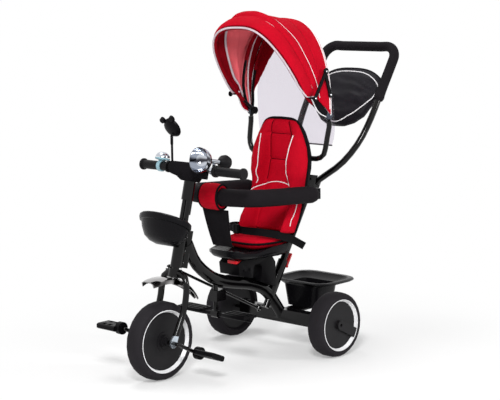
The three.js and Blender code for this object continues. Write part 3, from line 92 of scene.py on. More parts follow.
class Stuff:
    """A Principled material and the nodes that give it grain."""

    def __init__(self, name, colour, roughness, metallic=0.0, shine=0.5):
        self.m = bpy.data.materials.new(name)
        self.m.use_nodes = True
        self.tree = self.m.node_tree
        self.shader = self.tree.nodes["Principled BSDF"]
        for socket, value in (("Base Color", colour), ("Roughness", roughness), ("Metallic", metallic),
                              ("Specular IOR Level", shine)):
            self.shader.inputs[socket].default_value = value
        self.height = None

    def node(self, kind, **values):
        n = self.tree.nodes.new(kind)
        for k, v in values.items():
            if k in n.inputs:
                n.inputs[k].default_value = v
            else:
                setattr(n, k, v)
        return n

    def link(self, a, b):
        self.tree.links.new(a, b)

    def coords(self, space, stretch=(1, 1, 1)):
        c = self.node("ShaderNodeTexCoord")
        m = self.node("ShaderNodeMapping")
        m.inputs["Scale"].default_value = stretch
        self.link(c.outputs[space], m.inputs["Vector"])
        return m.outputs["Vector"]

    def noise(self, scale, detail, stretch=(1, 1, 1)):
        n = self.node("ShaderNodeTexNoise", Scale=scale, Detail=detail, Roughness=0.55)
        self.link(self.coords("Object", stretch), n.inputs["Vector"])
        return n.outputs["Fac"]

    def wave(self, scale, direction):
        n = self.node("ShaderNodeTexWave", Scale=scale, Distortion=0.0, bands_direction=direction)
        self.link(self.coords("UV"), n.inputs["Vector"])
        return n.outputs["Fac"]

    def math(self, operation, a, b):
        n = self.node("ShaderNodeMath", operation=operation)
        for i, v in enumerate((a, b)):
            if hasattr(v, "is_output"):
                self.link(v, n.inputs[i])
            else:
                n.inputs[i].default_value = v
        return n.outputs[0]

    def vary(self, factor, dark, light):
        """Colour between two shades by a texture."""
        r = self.node("ShaderNodeValToRGB")
        ends = r.color_ramp.elements
        ends[0].color, ends[1].color = dark, light
        ends[0].position, ends[1].position = 0.3, 0.7
        self.link(factor, r.inputs["Fac"])
        self.link(r.outputs["Color"], self.shader.inputs["Base Color"])

    def gloss(self, factor, low, high):
        r = self.node("ShaderNodeMapRange", **{"To Min": low, "To Max": high})
        self.link(factor, r.inputs["Value"])
        self.link(r.outputs["Result"], self.shader.inputs["Roughness"])

    def bump(self, factor, strength, distance):
        b = self.node("ShaderNodeBump", Strength=strength, Distance=distance)
        self.link(factor, b.inputs["Height"])
        if self.height is not None:
            self.link(self.height, b.inputs["Normal"])
        self.height = b.outputs["Normal"]
        self.link(self.height, self.shader.inputs["Normal"])


def scaled(colour, k):
    return tuple(min(1, c * k) for c in colour[:3]) + (1,)


def moulded(name, colour, roughness, grain=1600, depth=0.0002, metallic=0.0, spread=0.06, shine=0.3):
    """Plastic, rubber, paint or metal: fine grain, uneven gloss and a slight change of shade."""
    s = Stuff(name, colour, roughness, metallic, 0.5 if metallic else shine)
    s.vary(s.noise(9, 4), scaled(colour, 0.86), scaled(colour, 1.14))
    s.gloss(s.noise(26, 5), max(0.02, roughness - spread), roughness + spread)
    s.bump(s.noise(grain, 2), 0.35, depth)
    return s.m


WAVE_PITCH = 0.314  # metres between the bands of a wave texture at scale 1


def woven(name, colour, thread=0.0011, contrast=0.12, depth=0.00025, roughness=0.75, shine=0.05):
    """Cloth of crossing threads, its shade changing a little along them."""
    s = Stuff(name, colour, roughness, shine=shine)
    scale = WAVE_PITCH / (2 * thread)
    weave = s.math("MULTIPLY", s.wave(scale, "X"), s.wave(scale, "Y"))
    cloud = s.math("MULTIPLY", s.noise(24, 5), 0.75)
    shade = s.math("ADD", s.math("MULTIPLY", weave, 0.25), cloud)
    s.vary(shade, scaled(colour, 1 - contrast), scaled(colour, 1 + contrast))
    s.bump(s.noise(38, 4), 0.22, 0.004)
    s.bump(weave, 0.5, depth)
    return s.m


PAINTED_HORIZON_BAND = (0.40, 0.50, 0.58, 0.66)  # where the painted horizon band starts, is full, is still full and ends


def plated_painted_reflection(name, light, dark, roughness):
    """Bright plating with a painted reflection: its colour carries a dark band, a painted horizon, wherever its surface
    stands upright.
    """
    s = Stuff(name, light, roughness, 1.0)
    split = s.node("ShaderNodeSeparateXYZ")
    s.link(s.coords("Normal"), split.inputs[0])
    lean = s.math("MULTIPLY", split.outputs["Z"], 0.5)
    wander = s.math("MULTIPLY", s.noise(14, 2), 0.5)
    height = s.math("ADD", lean, s.math("ADD", wander, 0.25))
    ramp = s.node("ShaderNodeValToRGB")
    stops = ramp.color_ramp.elements
    stops[0].position, stops[0].color = PAINTED_HORIZON_BAND[0], light
    stops[1].position, stops[1].color = PAINTED_HORIZON_BAND[3], light
    for place in PAINTED_HORIZON_BAND[1:3]:
        stops.new(place).color = dark
    s.link(height, ramp.inputs["Fac"])
    s.link(ramp.outputs["Color"], s.shader.inputs["Base Color"])
    s.gloss(s.noise(26, 5), roughness * 0.6, roughness * 1.4)
    s.bump(s.noise(300, 2), 0.3, 0.00002)
    return s.m


RED = rgb(186, 7, 32)
paint = moulded("black_gloss_paint", rgb(6, 5, 6), 0.12, 900, 0.00003, spread=0.03, shine=0.25)
plastic = moulded("black_moulded_plastic", rgb(12, 11, 13), 0.34, shine=0.06)
satin = moulded("black_satin_plastic", rgb(12, 11, 14), 0.26, spread=0.05, shine=0.1)
# The mudguard's smoked chrome: its own colour, with a painted reflection of a dark horizon.
mirror_black = plated_painted_reflection("smoked_chrome_painted_reflection", rgb(168, 166, 166), rgb(26, 24, 24), 0.07)
rubber = moulded("eva_tyre", rgb(37, 35, 38), 0.72, 900, 0.0004, shine=0.06)
core_plastic = moulded("wheel_disc_plastic", rgb(24, 23, 25), 0.4, 1200, 0.0003, shine=0.15)
white_plastic = moulded("white_reflective_ring", rgb(238, 238, 240), 0.35)
zinc = moulded("zinc", rgb(198, 208, 218), 0.28, 700, 0.0001, 1.0)
# Chrome: its own colour, with a painted reflection of a dark horizon.
chrome = plated_painted_reflection("chrome_plate_painted_reflection", rgb(198, 202, 210), rgb(62, 62, 68), 0.05)
red_plastic = moulded("red_plastic", rgb(205, 22, 34), 0.35)
pale_blue = moulded("pale_blue_plastic", rgb(150, 186, 198), 0.3)
glass = moulded("mirror_glass", rgb(222, 228, 234), 0.02, 200, 0.00001, 1.0, 0.01)
foam = moulded("foam_rubber", rgb(25, 22, 25), 0.7, 700, 0.0009, spread=0.05, shine=0.06)
grip_rubber = moulded("grip_rubber", rgb(17, 16, 18), 0.48, 900, 0.0004, shine=0.12)
red_cloth = woven("red_oxford_cloth", RED)
# The sheer lining's own pink, lightened past it as painted light shining through the cloth.
lit_lining = woven("red_sheer_lining_lightened", rgb(232, 104, 112))
# Red darkened as painted shade, for the insides of the canopy and the sleeves over its hoops.
shaded_red = woven("red_cloth_painted_shade", rgb(128, 3, 18))
dark_cloth = woven("black_oxford_cloth", rgb(20, 18, 21), contrast=0.3)
bag_cloth = woven("black_bag_cloth", rgb(19, 16, 23), contrast=0.3, roughness=0.5, shine=0.12)
webbing = woven("black_webbing", rgb(17, 16, 18), thread=0.0018, contrast=0.35, depth=0.0006)
black_binding = woven("black_edge_binding", rgb(15, 14, 16), thread=0.0009)
white_piping = woven("white_piping", rgb(240, 238, 240), thread=0.0009, contrast=0.08)
grey_trim = woven("grey_reflective_trim", rgb(204, 190, 197), thread=0.0009, contrast=0.08)
dark_hem = woven("grey_window_hem", rgb(92, 88, 94), thread=0.0009, contrast=0.15)
# A dark red for cords laid in dents and creases: painted shade.
red_crease_shade = woven("red_seam_shadow", rgb(92, 0, 12))
# Finishes of cords: a material and its slot.
PIPING, TRIM, BEAD = (white_piping, "white_trim"), (grey_trim, "white_trim"), (white_plastic, "white_trim")
BINDING, HEM = (black_binding, "black_fabric"), (dark_hem, "black_fabric")
# CREASE_SHADE is that dark red: painted shade in dents and creases.
# SHADED_SLEEVE gives the sleeves over the hoops the red of painted shade.
CREASE_SHADE, SHADED_SLEEVE = (red_crease_shade, "red_fabric"), (shaded_red, "red_fabric")


def mixed(tree, output, factor, first, second):
    """Gives an output node the mix of two shaders. factor is a number or a socket."""
    mix = tree.nodes.new("ShaderNodeMixShader")
    if isinstance(factor, float):
        mix.inputs[0].default_value = factor
    else:
        tree.links.new(factor, mix.inputs[0])
    tree.links.new(first.outputs[0], mix.inputs[1])
    tree.links.new(second.outputs[0], mix.inputs[2])
    tree.links.new(mix.outputs[0], tree.nodes[output].inputs["Surface"])


def film_material():
    s = Stuff("clear_window_film", rgb(238, 234, 240), 0.25)
    s.bump(s.noise(7, 3, stretch=(1, 1, 0.4)), 0.5, 0.006)
    clear = s.node("ShaderNodeBsdfTransparent", Color=(0.885, 0.865, 0.9, 1))
    mixed(s.tree, "Material Output", 0.035, clear, s.shader)
    return s.m


window_film = film_material()

# ---- mesh makers


def new_object(name, points, faces, material, uvs=None, slots=None, closed=True):
    mesh = bpy.data.meshes.new(name)
    mesh.from_pydata([tuple(p) for p in points], [], faces)
    for m in material if isinstance(material, (list, tuple)) else [material]:
        mesh.materials.append(m)
    if slots:
        mesh.polygons.foreach_set("material_index", slots)
    if uvs:
        layer = mesh.uv_layers.new(name="cut")
        layer.data.foreach_set("uv", [c for uv in uvs for c in uv])
    mesh.polygons.foreach_set("use_smooth", [True] * len(faces))
    if closed:
        bm = bmesh.new()
        bm.from_mesh(mesh)
        bmesh.ops.recalc_face_normals(bm, faces=bm.faces)
        bm.to_mesh(mesh)
        bm.free()
    obj = bpy.data.objects.new(name, mesh)
    bpy.context.scene.collection.objects.link(obj)
    return obj


def ruler(rows, wrap):
    """Distances across the middle row and along the rows, for a weave of true size."""
    mid = rows[len(rows) // 2]
    count = len(mid)
    across = [0]
    for i in range(count if wrap else count - 1):
        across.append(across[-1] + (mid[(i + 1) % count] - mid[i]).length)
    along = [0]
    for a, b in zip(rows, rows[1:]):
        along.append(along[-1] + sum((q - p).length for p, q in zip(a, b)) / count)
    return across, along


def cell(across, along, i, j):
    """The corners of one cell of the weave."""
    return [(across[i], along[j]), (across[i + 1], along[j]), (across[i + 1], along[j + 1]), (across[i], along[j + 1])]


def skin(name, rows, material):
    """A closed surface through rings of points, with a lid on the first and on the last."""
    count = len(rows[0])
    across, along = ruler(rows, True)
    points = [p for row in rows for p in row]
    faces, uvs = [], []
    for j in range(len(rows) - 1):
        for i in range(count):
            k = (i + 1) % count
            faces.append((j * count + i, j * count + k, (j + 1) * count + k, (j + 1) * count + i))
            uvs += cell(across, along, i, j)
    for j in (0, len(rows) - 1):
        row = rows[j]
        middle = sum(row, Vector()) / count
        points.append(middle)
        for i in range(count):
            k = (i + 1) % count
            faces.append((j * count + i, j * count + k, len(points) - 1))
            uvs += [(row[i].x, row[i].z), (row[k].x, row[k].z), (middle.x, middle.z)]
    return new_object(name, points, faces, material, uvs)


def sheet_shell(name, outer, inner, material, inner_slot=None):
    """A sheet with two faces and a closed rim. inner_slot(j, i) picks the material of an inner face."""
    m, n = len(outer), len(outer[0])
    across, along = ruler(outer, False)
    points = [p for row in outer for p in row] + [p for row in inner for p in row]
    base = m * n
    faces, uvs, slots = [], [], []

    def quad(a, b, c, d, uv, slot=0):
        faces.append((a, b, c, d))
        uvs.extend(uv)
        slots.append(slot)

    for j in range(m - 1):
        for i in range(n - 1):
            a, b, c, d = j * n + i, j * n + i + 1, (j + 1) * n + i + 1, (j + 1) * n + i
            uv = cell(across, along, i, j)
            quad(a, b, c, d, uv)
            slot = inner_slot(j, i) if inner_slot else 0
            quad(base + d, base + c, base + b, base + a, uv[::-1], slot)
    edge = ([(0, i) for i in range(n - 1)] + [(j, n - 1) for j in range(m - 1)]
            + [(m - 1, i) for i in range(n - 1, 0, -1)] + [(j, 0) for j in range(m - 1, 0, -1)])
    for (j, i), (l, k) in zip(edge, edge[1:] + edge[:1]):
        a, b = j * n + i, l * n + k
        quad(a, base + a, base + b, b, [(0, 0), (0, 0.003), (0.003, 0.003), (0.003, 0)])
    return new_object(name, points, faces, material, uvs, slots)


def between(p, q, start, end, t):
    return p * ((end - t) / (end - start)) + q * ((t - start) / (end - start))


def smooth(points, count):
    """Points evenly spaced along a centripetal curve through the given points."""
    p = [Vector(q) for q in points]
    p = [2 * p[0] - p[1], *p, 2 * p[-1] - p[-2]]
    fine = []
    for a, b, c, d in zip(p, p[1:], p[2:], p[3:]):
        k1 = max((b - a).length, 1e-9) ** 0.5
        k2 = k1 + max((c - b).length, 1e-9) ** 0.5
        k3 = k2 + max((d - c).length, 1e-9) ** 0.5
        for step in range(16):
            t = k1 + (k2 - k1) * step / 16
            a1, a2, a3 = between(a, b, 0, k1, t), between(b, c, k1, k2, t), between(c, d, k2, k3, t)
            fine.append(between(between(a1, a2, 0, k2, t), between(a2, a3, k1, k3, t), k1, k2, t))
    fine.append(p[-2])
    return evenly(fine, count)


def evenly(points, count):
    run = [0]
    for a, b in zip(points, points[1:]):
        run.append(run[-1] + (b - a).length)
    out, k = [], 0
    for i in range(count):
        want = run[-1] * i / (count - 1)
        while k < len(points) - 2 and run[k + 1] < want:
            k += 1
        span = max(run[k + 1] - run[k], 1e-12)
        out.append(points[k].lerp(points[k + 1], min(1, max(0, (want - run[k]) / span))))
    return out


def frames(path):
    """A direction and two steady normals at each point of a path."""
    out = []
    normal = None
    for i in range(len(path)):
        ahead = path[min(i + 1, len(path) - 1)] - path[max(i - 1, 0)]
        ahead.normalize()
        if normal is None:
            normal = ahead.orthogonal()
        normal = (normal - ahead * normal.dot(ahead)).normalized()
        out.append((ahead, normal, ahead.cross(normal)))
    return out


def circle(count):
    return [2 * pi * k / count for k in range(count)]


def tube(name, path, radius, material, sides, rounded=True):
    """A tube along a path. radius is a number or a function of the share of the way."""
    rings = []
    last = len(path) - 1
    for i, (p, (ahead, n, b)) in enumerate(zip(path, frames(path))):
        r = radius(i / last) if callable(radius) else radius
        ring = [n * (cos(a) * r) + b * (sin(a) * r) for a in circle(sides)]
        if rounded and i in (0, last):
            s = -1 if i == 0 else 1
            caps = [[p + ahead * (s * sin(q) * r) + v * cos(q) for v in ring]
                    for q in (radians(d) for d in (0, 30, 58, 80))]
            rings += caps[::-1] if i == 0 else caps
        else:
            rings.append([p + v for v in ring])
    return skin(name, rings, material)


def lathe(name, profile, place, material, sides):
    """A turned piece: (distance along the axis, radius) pairs in mm, placed by a function of x, y, z."""
    rows = [[place(along, cos(a) * r, sin(a) * r) for a in circle(sides)] for along, r in profile]
    return skin(name, rows, material)


def wear(obj, body, slot, *replaced):
    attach(obj, body)
    if replaced:
        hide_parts(*replaced)
    return obj


def bit(name, path, radius, finish, sides=8, rounded=True):
    """A cord along a path, with the slot it takes its finish from. finish is a material and that slot."""
    material, slot = finish
    return tube(name, path, radius, material, sides, rounded), slot


def trim(name, path, radius, finish, sides=8, rounded=True, body="seat"):
    obj, slot = bit(name, path, radius, finish, sides, rounded)
    wear(obj, body, slot)


def lerp_table(table, z):
    """Values of the rows of a table, interpolated at z. Each row starts with its z."""
    keys = [row[0] for row in table]
    return [float(np.interp(z, keys, [row[c] for row in table])) for c in range(1, len(table[0]))]


def lumps(x, y, z):
    """Smooth unevenness, about -1 to 1, the same at every run."""
    return noise.noise(Vector((x, y, z)))


def ease(x):
    x = min(1, max(0, x))
    return x * x * (3 - 2 * x)


CLOTH_FRAMES = 16


def puff(obj, hold, pressure, cap):
    """Blows a closed mesh up with Cloth. hold gives each point's grip, and cap how far one may move."""
    rest = [v.co.copy() for v in obj.data.vertices]
    group = obj.vertex_groups.new(name="hold")
    for i, w in enumerate(hold):
        if w > 0:
            group.add([i], w, "REPLACE")
    mod = obj.modifiers.new("cloth", "CLOTH")
    s = mod.settings
    s.quality = 5
    s.mass = 0.4
    s.tension_stiffness = s.compression_stiffness = 12
    s.shear_stiffness = 6
    s.bending_stiffness = 0.6
    s.vertex_group_mass = "hold"
    s.use_pressure = True
    s.uniform_pressure_force = pressure
    s.effector_weights.gravity = 0
    mod.collision_settings.use_collision = False
    mod.collision_settings.use_self_collision = False
    mod.point_cache.frame_start = 1
    mod.point_cache.frame_end = CLOTH_FRAMES
    scene = bpy.context.scene
    for f in range(1, CLOTH_FRAMES + 1):
        scene.frame_set(f)
    settled = obj.evaluated_get(bpy.context.evaluated_depsgraph_get())
    moved = [v.co.copy() for v in settled.data.vertices]
    obj.modifiers.remove(mod)
    scene.frame_set(1)
    for v, a, b in zip(obj.data.vertices, rest, moved):
        d = b - a
        if d.length > cap:
            d *= cap / d.length
        v.co = a + d
    obj.vertex_groups.clear()
    return obj


# ---- CAD nodes that stay


def smooth_by_angle(degrees):
    """A modifier group that shades flat only across edges sharper than an angle."""
    group = bpy.data.node_groups.new(f"smooth_under_{degrees}", "GeometryNodeTree")
    for way in ("INPUT", "OUTPUT"):
        group.interface.new_socket("Geometry", in_out=way, socket_type="NodeSocketGeometry")
    n = group.nodes
    source, sink = n.new("NodeGroupInput"), n.new("NodeGroupOutput")
    angle = n.new("GeometryNodeInputMeshEdgeAngle")
    small = n.new("FunctionNodeCompare")
    small.data_type, small.operation = "FLOAT", "LESS_EQUAL"
    small.inputs[1].default_value = radians(degrees)
    faces, edges = n.new("GeometryNodeSetShadeSmooth"), n.new("GeometryNodeSetShadeSmooth")
    faces.domain, edges.domain = "FACE", "EDGE"
    link = group.links.new
    link(angle.outputs["Unsigned Angle"], small.inputs[0])
    link(source.outputs[0], faces.inputs["Geometry"])
    link(faces.outputs[0], edges.inputs["Geometry"])
    link(small.outputs[0], edges.inputs["Shade Smooth"])
    link(edges.outputs[0], sink.inputs[0])
    return group


SMOOTH = {degrees: smooth_by_angle(degrees) for degrees in (34, 50)}


def dress(names, material, angle=34, bevel=0.0):
    for name in names.split():
        obj = nodes[name]
        custom = obj.data.attributes.get("custom_normal")
        if custom is not None:
            obj.data.attributes.remove(custom)
        obj.data.materials.clear()
        obj.data.materials.append(material)
        weld = obj.modifiers.new("weld", "WELD")
        weld.merge_threshold = 2e-5
        if bevel:
            b = obj.modifiers.new("bevel", "BEVEL")
            b.limit_method, b.angle_limit = "ANGLE", radians(50)
            b.width, b.segments = bevel, 2
        shade = obj.modifiers.new("shade", "NODES")
        shade.node_group = SMOOTH[angle]


dress("main_frame steering_rod fork handlebar_stem handlebar handle_post handle_tube canopy_support", paint, 50)
dress("pedal_crank", paint, 50)
dress("seat_base footrest brake_pedal_left brake_pedal_right", plastic, bevel=0.0008)
dress("seat_shell rear_bin front_basket", satin, 34)
dress("pedal_left pedal_right rear_hoops front_hoop", plastic, 50)
dress("canopy_stay_rear_left canopy_stay_rear_right canopy_stay_front_left canopy_stay_front_right", plastic)
dress("mirror_stem mirror_housing", plastic, 50)
dress("mudguard", mirror_black)
dress("dropout_left dropout_right", zinc)
dress("bell_dome horn_trumpet", chrome)
dress("bell_base", pale_blue)
dress("mirror_glass", glass)
dress("horn_bulb grip_left grip_right", grip_rubber)
dress("front_tyre rear_tyre_left rear_tyre_right", rubber)
dress("front_wheel_core rear_wheel_core_left rear_wheel_core_right", core_plastic)
dress("front_trim_ring_left front_trim_ring_right rear_trim_ring_left rear_trim_ring_right", white_plastic)
dress("release_lever swivel_latch", red_plastic, bevel=0.0008)
dress("bar_cover", dark_cloth, 50, bevel=0.003)

# ---- canopy
# Ribs are half loops: (foot, crest, bow, forward lead of the sides). p picks one: 0 rim, 1 seam, 2 middle, 3 rear.
RIBS = [((157, -49, 820), (0, -177, 1040), 0.72, 15), ((158, -12, 820), (0, -118, 1076), 0.82, 8),
        ((167, 7, 798), (0, -6, 1052), 0.97, 0), ((171, 52, 757), (0, 62, 1048), 0.88, 0)]
HOOP_INSET = -6.6  # from the ribs to the middle of the hoops' tubes
CLOTH = 3.0  # thickness of the canopy's cloth


def rib_at(p):
    i = min(int(p), 2)
    share = p - i
    (f0, c0, b0, l0), (f1, c1, b1, l1) = RIBS[i], RIBS[i + 1]
    foot, crest = Vector(f0).lerp(Vector(f1), share), Vector(c0).lerp(Vector(c1), share)
    return foot, crest, b0 + (b1 - b0) * share, l0 + (l1 - l0) * share


def canopy_point(p, turn, grow):
    """turn runs 0..2 from the left foot over the crest to the right foot."""
    foot, crest, bow, lead = rib_at(p)
    side = 1 if turn <= 1 else -1
    t = min(turn, 2 - turn)
    a = pi / 2 * t
    wide, rise = max(cos(a), 0) ** bow, sin(a) ** bow
    up = Vector((0, crest.y - foot.y, crest.z - foot.z))
    length = up.length
    up.normalize()
    q = Vector((0, foot.y, foot.z)) + up * (rise * (length + grow))
    return (side * wide * (foot.x + grow), q.y - lead * sin(pi * t), q.z)


# Seam lines of the cloth as (turn, p): the ridge behind the rim, and the stitched line behind it.
RIDGE = [(0, 1.15), (0.07, 1.04), (0.18, 0.98), (0.34, 0.91), (0.5, 0.88), (0.72, 0.74), (1, 0.72)]
STITCH = [(0, 1.95), (0.06, 1.85), (0.12, 1.8), (0.22, 1.62), (0.34, 1.5), (0.48, 1.46), (0.62, 1.3), (1, 1.2)]


def seam(table, turn):
    t = min(turn, 2 - turn)
    return lerp_table(table, t)[0]


def strip_p(q, turn):
    """q: 0 rim, 1 ridge, 1.5 stitched line, 2 middle, 3 rear."""
    marks = [0, seam(RIDGE, turn), seam(STITCH, turn), 2, 3]
    return float(np.interp(q, [0, 1, 1.5, 2, 3], marks))


def canopy_grow(q, turn):
    """How far the outer face stands off: panels belly out between their seams and wrinkle near the feet."""
    t = min(turn, 2 - turn)
    belly = 0
    for a, b, h in ((0, 1, 7.4), (1, 1.5, 6.5), (1.5, 3, 8.2 * (1 - 0.34 * t ** 6))):
        if a <= q <= b:
            belly = h * sin(pi * (q - a) / (b - a)) ** 0.7
    belly *= 0.35 + 0.65 * sin(pi / 2 * t)
    wrinkle = lumps(q * 2.2, turn * 9, 3) * (0.8 + 1.6 * (1 - t))
    wrinkle += lumps(q * 6, turn * 3, 8) * 0.7
    edge = min(1, min(abs(q - m) for m in (0, 1, 1.5, 3)) * 6)
    return CLOTH + belly + wrinkle * edge - 3.5 * exp(-(((q - 1) / 0.035) ** 2))


TURNS, FRONT_ROWS, REAR_ROWS = 84, 36, 14  # cells across the cloth, and along each of its two sheets


def canopy_rows(q0, q1, count, inner):
    def place(q, turn):
        return at(*canopy_point(strip_p(q, turn), turn, canopy_grow(q, turn) - (CLOTH if inner else 0)))

    return [[place(q0 + (q1 - q0) * j / count, 2 * i / TURNS) for i in range(TURNS + 1)] for j in range(count + 1)]


LINE1 = [(0, 2.9), (0.03, 1.89), (0.07, 0.86), (0.24, 0.84), (0.42, 0.78), (1, 0.78)]  # inner bindings, as (turn, p)
LINE2 = [(0, 2.95), (0.11, 2.63), (0.27, 2.43), (0.43, 2.36), (0.63, 2.26), (1, 2.26)]


# Inner faces of the front cloth: the red of painted shade from the rim to the first binding, and the lightened lining
# behind it.
def front_slot(j, i):
    turn = 2 * (i + 0.5) / TURNS
    q = 2 * (j + 0.5) / FRONT_ROWS
    return 1 if strip_p(q, turn) > seam(LINE1, turn) else 2


# Inner faces of the rear cloth: the lightened lining before the second binding, and the red of painted shade behind it.
def rear_slot(j, i):
    return 1 if 2 + (j + 0.5) / REAR_ROWS < seam(LINE2, 2 * (i + 0.5) / TURNS) else 2


front = sheet_shell("canopy_front_cloth", canopy_rows(0, 2, FRONT_ROWS, False), canopy_rows(0, 2, FRONT_ROWS, True),
                    [red_cloth, lit_lining, shaded_red], front_slot)
rear = sheet_shell("canopy_rear_cloth", canopy_rows(2, 3, REAR_ROWS, False), canopy_rows(2, 3, REAR_ROWS, True),
                   [red_cloth, lit_lining, shaded_red], rear_slot)


def canopy_line(q_of, turns, grow):
    """Points along a line on the canopy. q_of is q, or p in a tuple, or a function of the turn that gives either."""
    out = []
    for i in range(91):
        turn = turns[0] + (turns[1] - turns[0]) * i / 90
        q = q_of(turn) if callable(q_of) else q_of
        p = q[0] if isinstance(q, tuple) else strip_p(q, turn)
        lift = grow + (0 if isinstance(q, tuple) else canopy_grow(q, turn) - CLOTH)
        out.append(at(*canopy_point(p, turn, lift)))
    return out


def hem_line(p_from, p_to, side):
    """Points along the lower edge of the cloth, from one rib to another."""
    turn = 0 if side > 0 else 2
    return [at(*canopy_point(p_from + (p_to - p_from) * k / 16, turn, CLOTH / 2)) for k in range(17)]


RIM_FORWARD = Vector((0, -0.0052, -0.003))  # the trim lies on the front of the hoop
rim_line = (hem_line(1.0, 0.12, 1) + [p + RIM_FORWARD for p in canopy_line((0,), (0.03, 1.97), -2.5)]
            + hem_line(0.12, 1.0, -1))
hoop_leg = [(149, -8, 796), (149, -28, 812)]  # each end of the front hoop, between its pivot and the rim


def arched(leg, middle):
    """A line up the left leg, over the middle and down the same leg on the right."""
    return smooth([at(*p) for p in leg] + middle[::3] + [at(-x, y, z) for x, y, z in leg[::-1]], 200)


def binding(table, marks):
    """A binding inside the cloth: along a seam table, and past its last turn down both sides to the pivots."""
    left = [canopy_point(p, turn, BINDING_INSET) for turn, p in marks]
    middle = canopy_line(lambda t: (seam(table, t),), (marks[-1][0] + 0.02, 1.98 - marks[-1][0]),
                         BINDING_INSET)
    return arched(left, middle)


BINDING_INSET = -1.6  # from the ribs
rim_sleeve = arched(hoop_leg, canopy_line((0,), (0.12, 1.88), HOOP_INSET))
BINDING1 = binding(LINE1, [(0.0, 2.85), (0.015, 2.4), (0.035, 1.8), (0.055, 1.2), (0.075, 0.9)])
BINDING2 = binding(LINE2, [(0.0, 2.9), (0.05, 2.8), (0.11, 2.63)])
# The sleeves over the hoops take the red of painted shade.
SLEEVE_RADIUS = 0.0058
front_bits = [
    bit("canopy_rim_trim", smooth(rim_line[::2], 220), 0.0031, TRIM, 12),
    bit("canopy_rim_sleeve", rim_sleeve, SLEEVE_RADIUS, SHADED_SLEEVE, 14),
    # A dark red cord in the ridge's dent: painted shade.
    bit("canopy_ridge_shade_cord", canopy_line(1.0, (0.02, 1.98), CLOTH), 0.0018, CREASE_SHADE),
    bit("canopy_stitch_cord", canopy_line(1.5, (0.03, 1.97), CLOTH + 0.3), 0.0012, PIPING),
    bit("canopy_inner_binding", BINDING1, 0.0036, TRIM, 10),
]
rear_bits = [
    bit("canopy_rear_piping_a", canopy_line(2.857, (0.02, 1.98), CLOTH + 0.4), 0.0018, PIPING),
    bit("canopy_rear_piping_b", canopy_line(3.0, (0.0, 2.0), CLOTH - 1), 0.0021, PIPING),
    bit("canopy_second_binding", BINDING2, 0.0026, TRIM, 10),
    bit("canopy_middle_sleeve", canopy_line((2,), (0.34, 1.66), HOOP_INSET), SLEEVE_RADIUS, SHADED_SLEEVE, 14),
    bit("canopy_rear_sleeve", canopy_line((3,), (0.28, 1.72), HOOP_INSET), SLEEVE_RADIUS, SHADED_SLEEVE, 14),
]
# The back panel: cloth from the rear hoop in to the window's arch, given as (turn, x, z).
ARCH = [(0, 168, 762), (0.05, 165, 798), (0.15, 152, 829), (0.3, 127, 866), (0.5, 98, 914), (0.7, 60, 961),
        (0.85, 30, 981), (1, 0, 988)]


def rear_hoop_y(z):
    """y of the rear hoop's plane at a height. Below its foot the plane stands upright."""
    (_, foot_y, foot_z), (_, crest_y, crest_z) = RIBS[3][:2]
    return foot_y + (crest_y - foot_y) * max(0, (z - foot_z) / (crest_z - foot_z))


def back_panel(depth):
    rows = []
    for k in range(9):
        row = []
        for i in range(121):
            turn = 2 * i / 120
            t = min(turn, 2 - turn)
            x, z = lerp_table(ARCH, t)
            x *= 1 if turn <= 1 else -1
            edge = Vector((x, rear_hoop_y(z), z))
            edge.z += 2.5 * lumps(turn * 22, 1, 2)
            p = Vector(canopy_point(3, turn, 0)).lerp(edge, k / 8)
            p.y += 1.0 + depth + 1.6 * lumps(turn * 26, k / 5, 9) * k / 8
            row.append(at(*p))
        rows.append(row)
    return rows


# The back panel's inner face takes the red of painted shade.
back_sheet = sheet_shell("canopy_back_panel", back_panel(1.0), back_panel(0), [red_cloth, shaded_red], lambda j, i: 1)
rear_bits.append((back_sheet, "red_fabric"))
# Dark gusset below the cloth's lower edge, from the rim to the pivot: (y, z) along its piped edge.
GUSSET = [(-26, 819), (-16, 800), (-8, 784), (8, 765), (37, 751)]
gussets = []
for s, side in SIDES:
    top_edge = evenly(hem_line(0.75, 2.7, s), 20)
    low_edge = smooth([at(s * (157 + 2.4 * k), y, z) for k, (y, z) in enumerate(GUSSET)], 20)
    rows = []
    for k in range(7):
        swell = Vector((s * 0.002 * sin(pi * k / 6), 0, 0))
        rows.append([a.lerp(b, k / 6) + swell for a, b in zip(top_edge, low_edge)])
    inner = [[p - Vector((s * 0.0014, 0, 0)) for p in row] for row in rows]
    gussets.append(sheet_shell(f"canopy_gusset_{side}", rows, inner, [dark_cloth, red_cloth], lambda j, i: 1))
    front_bits.append((gussets[-1], "black_fabric"))
    front_bits.append(bit(f"canopy_gusset_piping_{side}", low_edge, 0.0017, PIPING))

# Stays: black discs and bright bolts at their joints, and grey sockets round the pivots.
steel = moulded("bright_bolt_steel", rgb(206, 208, 212), 0.18, 900, 0.00003, 1.0, 0.05)
socket_grey = moulded("grey_socket_plastic", rgb(58, 62, 72), 0.4, shine=0.12)
STAY_OUT = 182.4  # x of the outer face of the stays


def disc(name, x, y, z, side, profile, material):
    """A turned piece on an axis across the tricycle: profile gives (distance outward, radius)."""
    def place(a, c, q):
        return at(side * x + a, y + c, z + q)

    return lathe(name, [(side * a, r) for a, r in profile], place, material, 28)


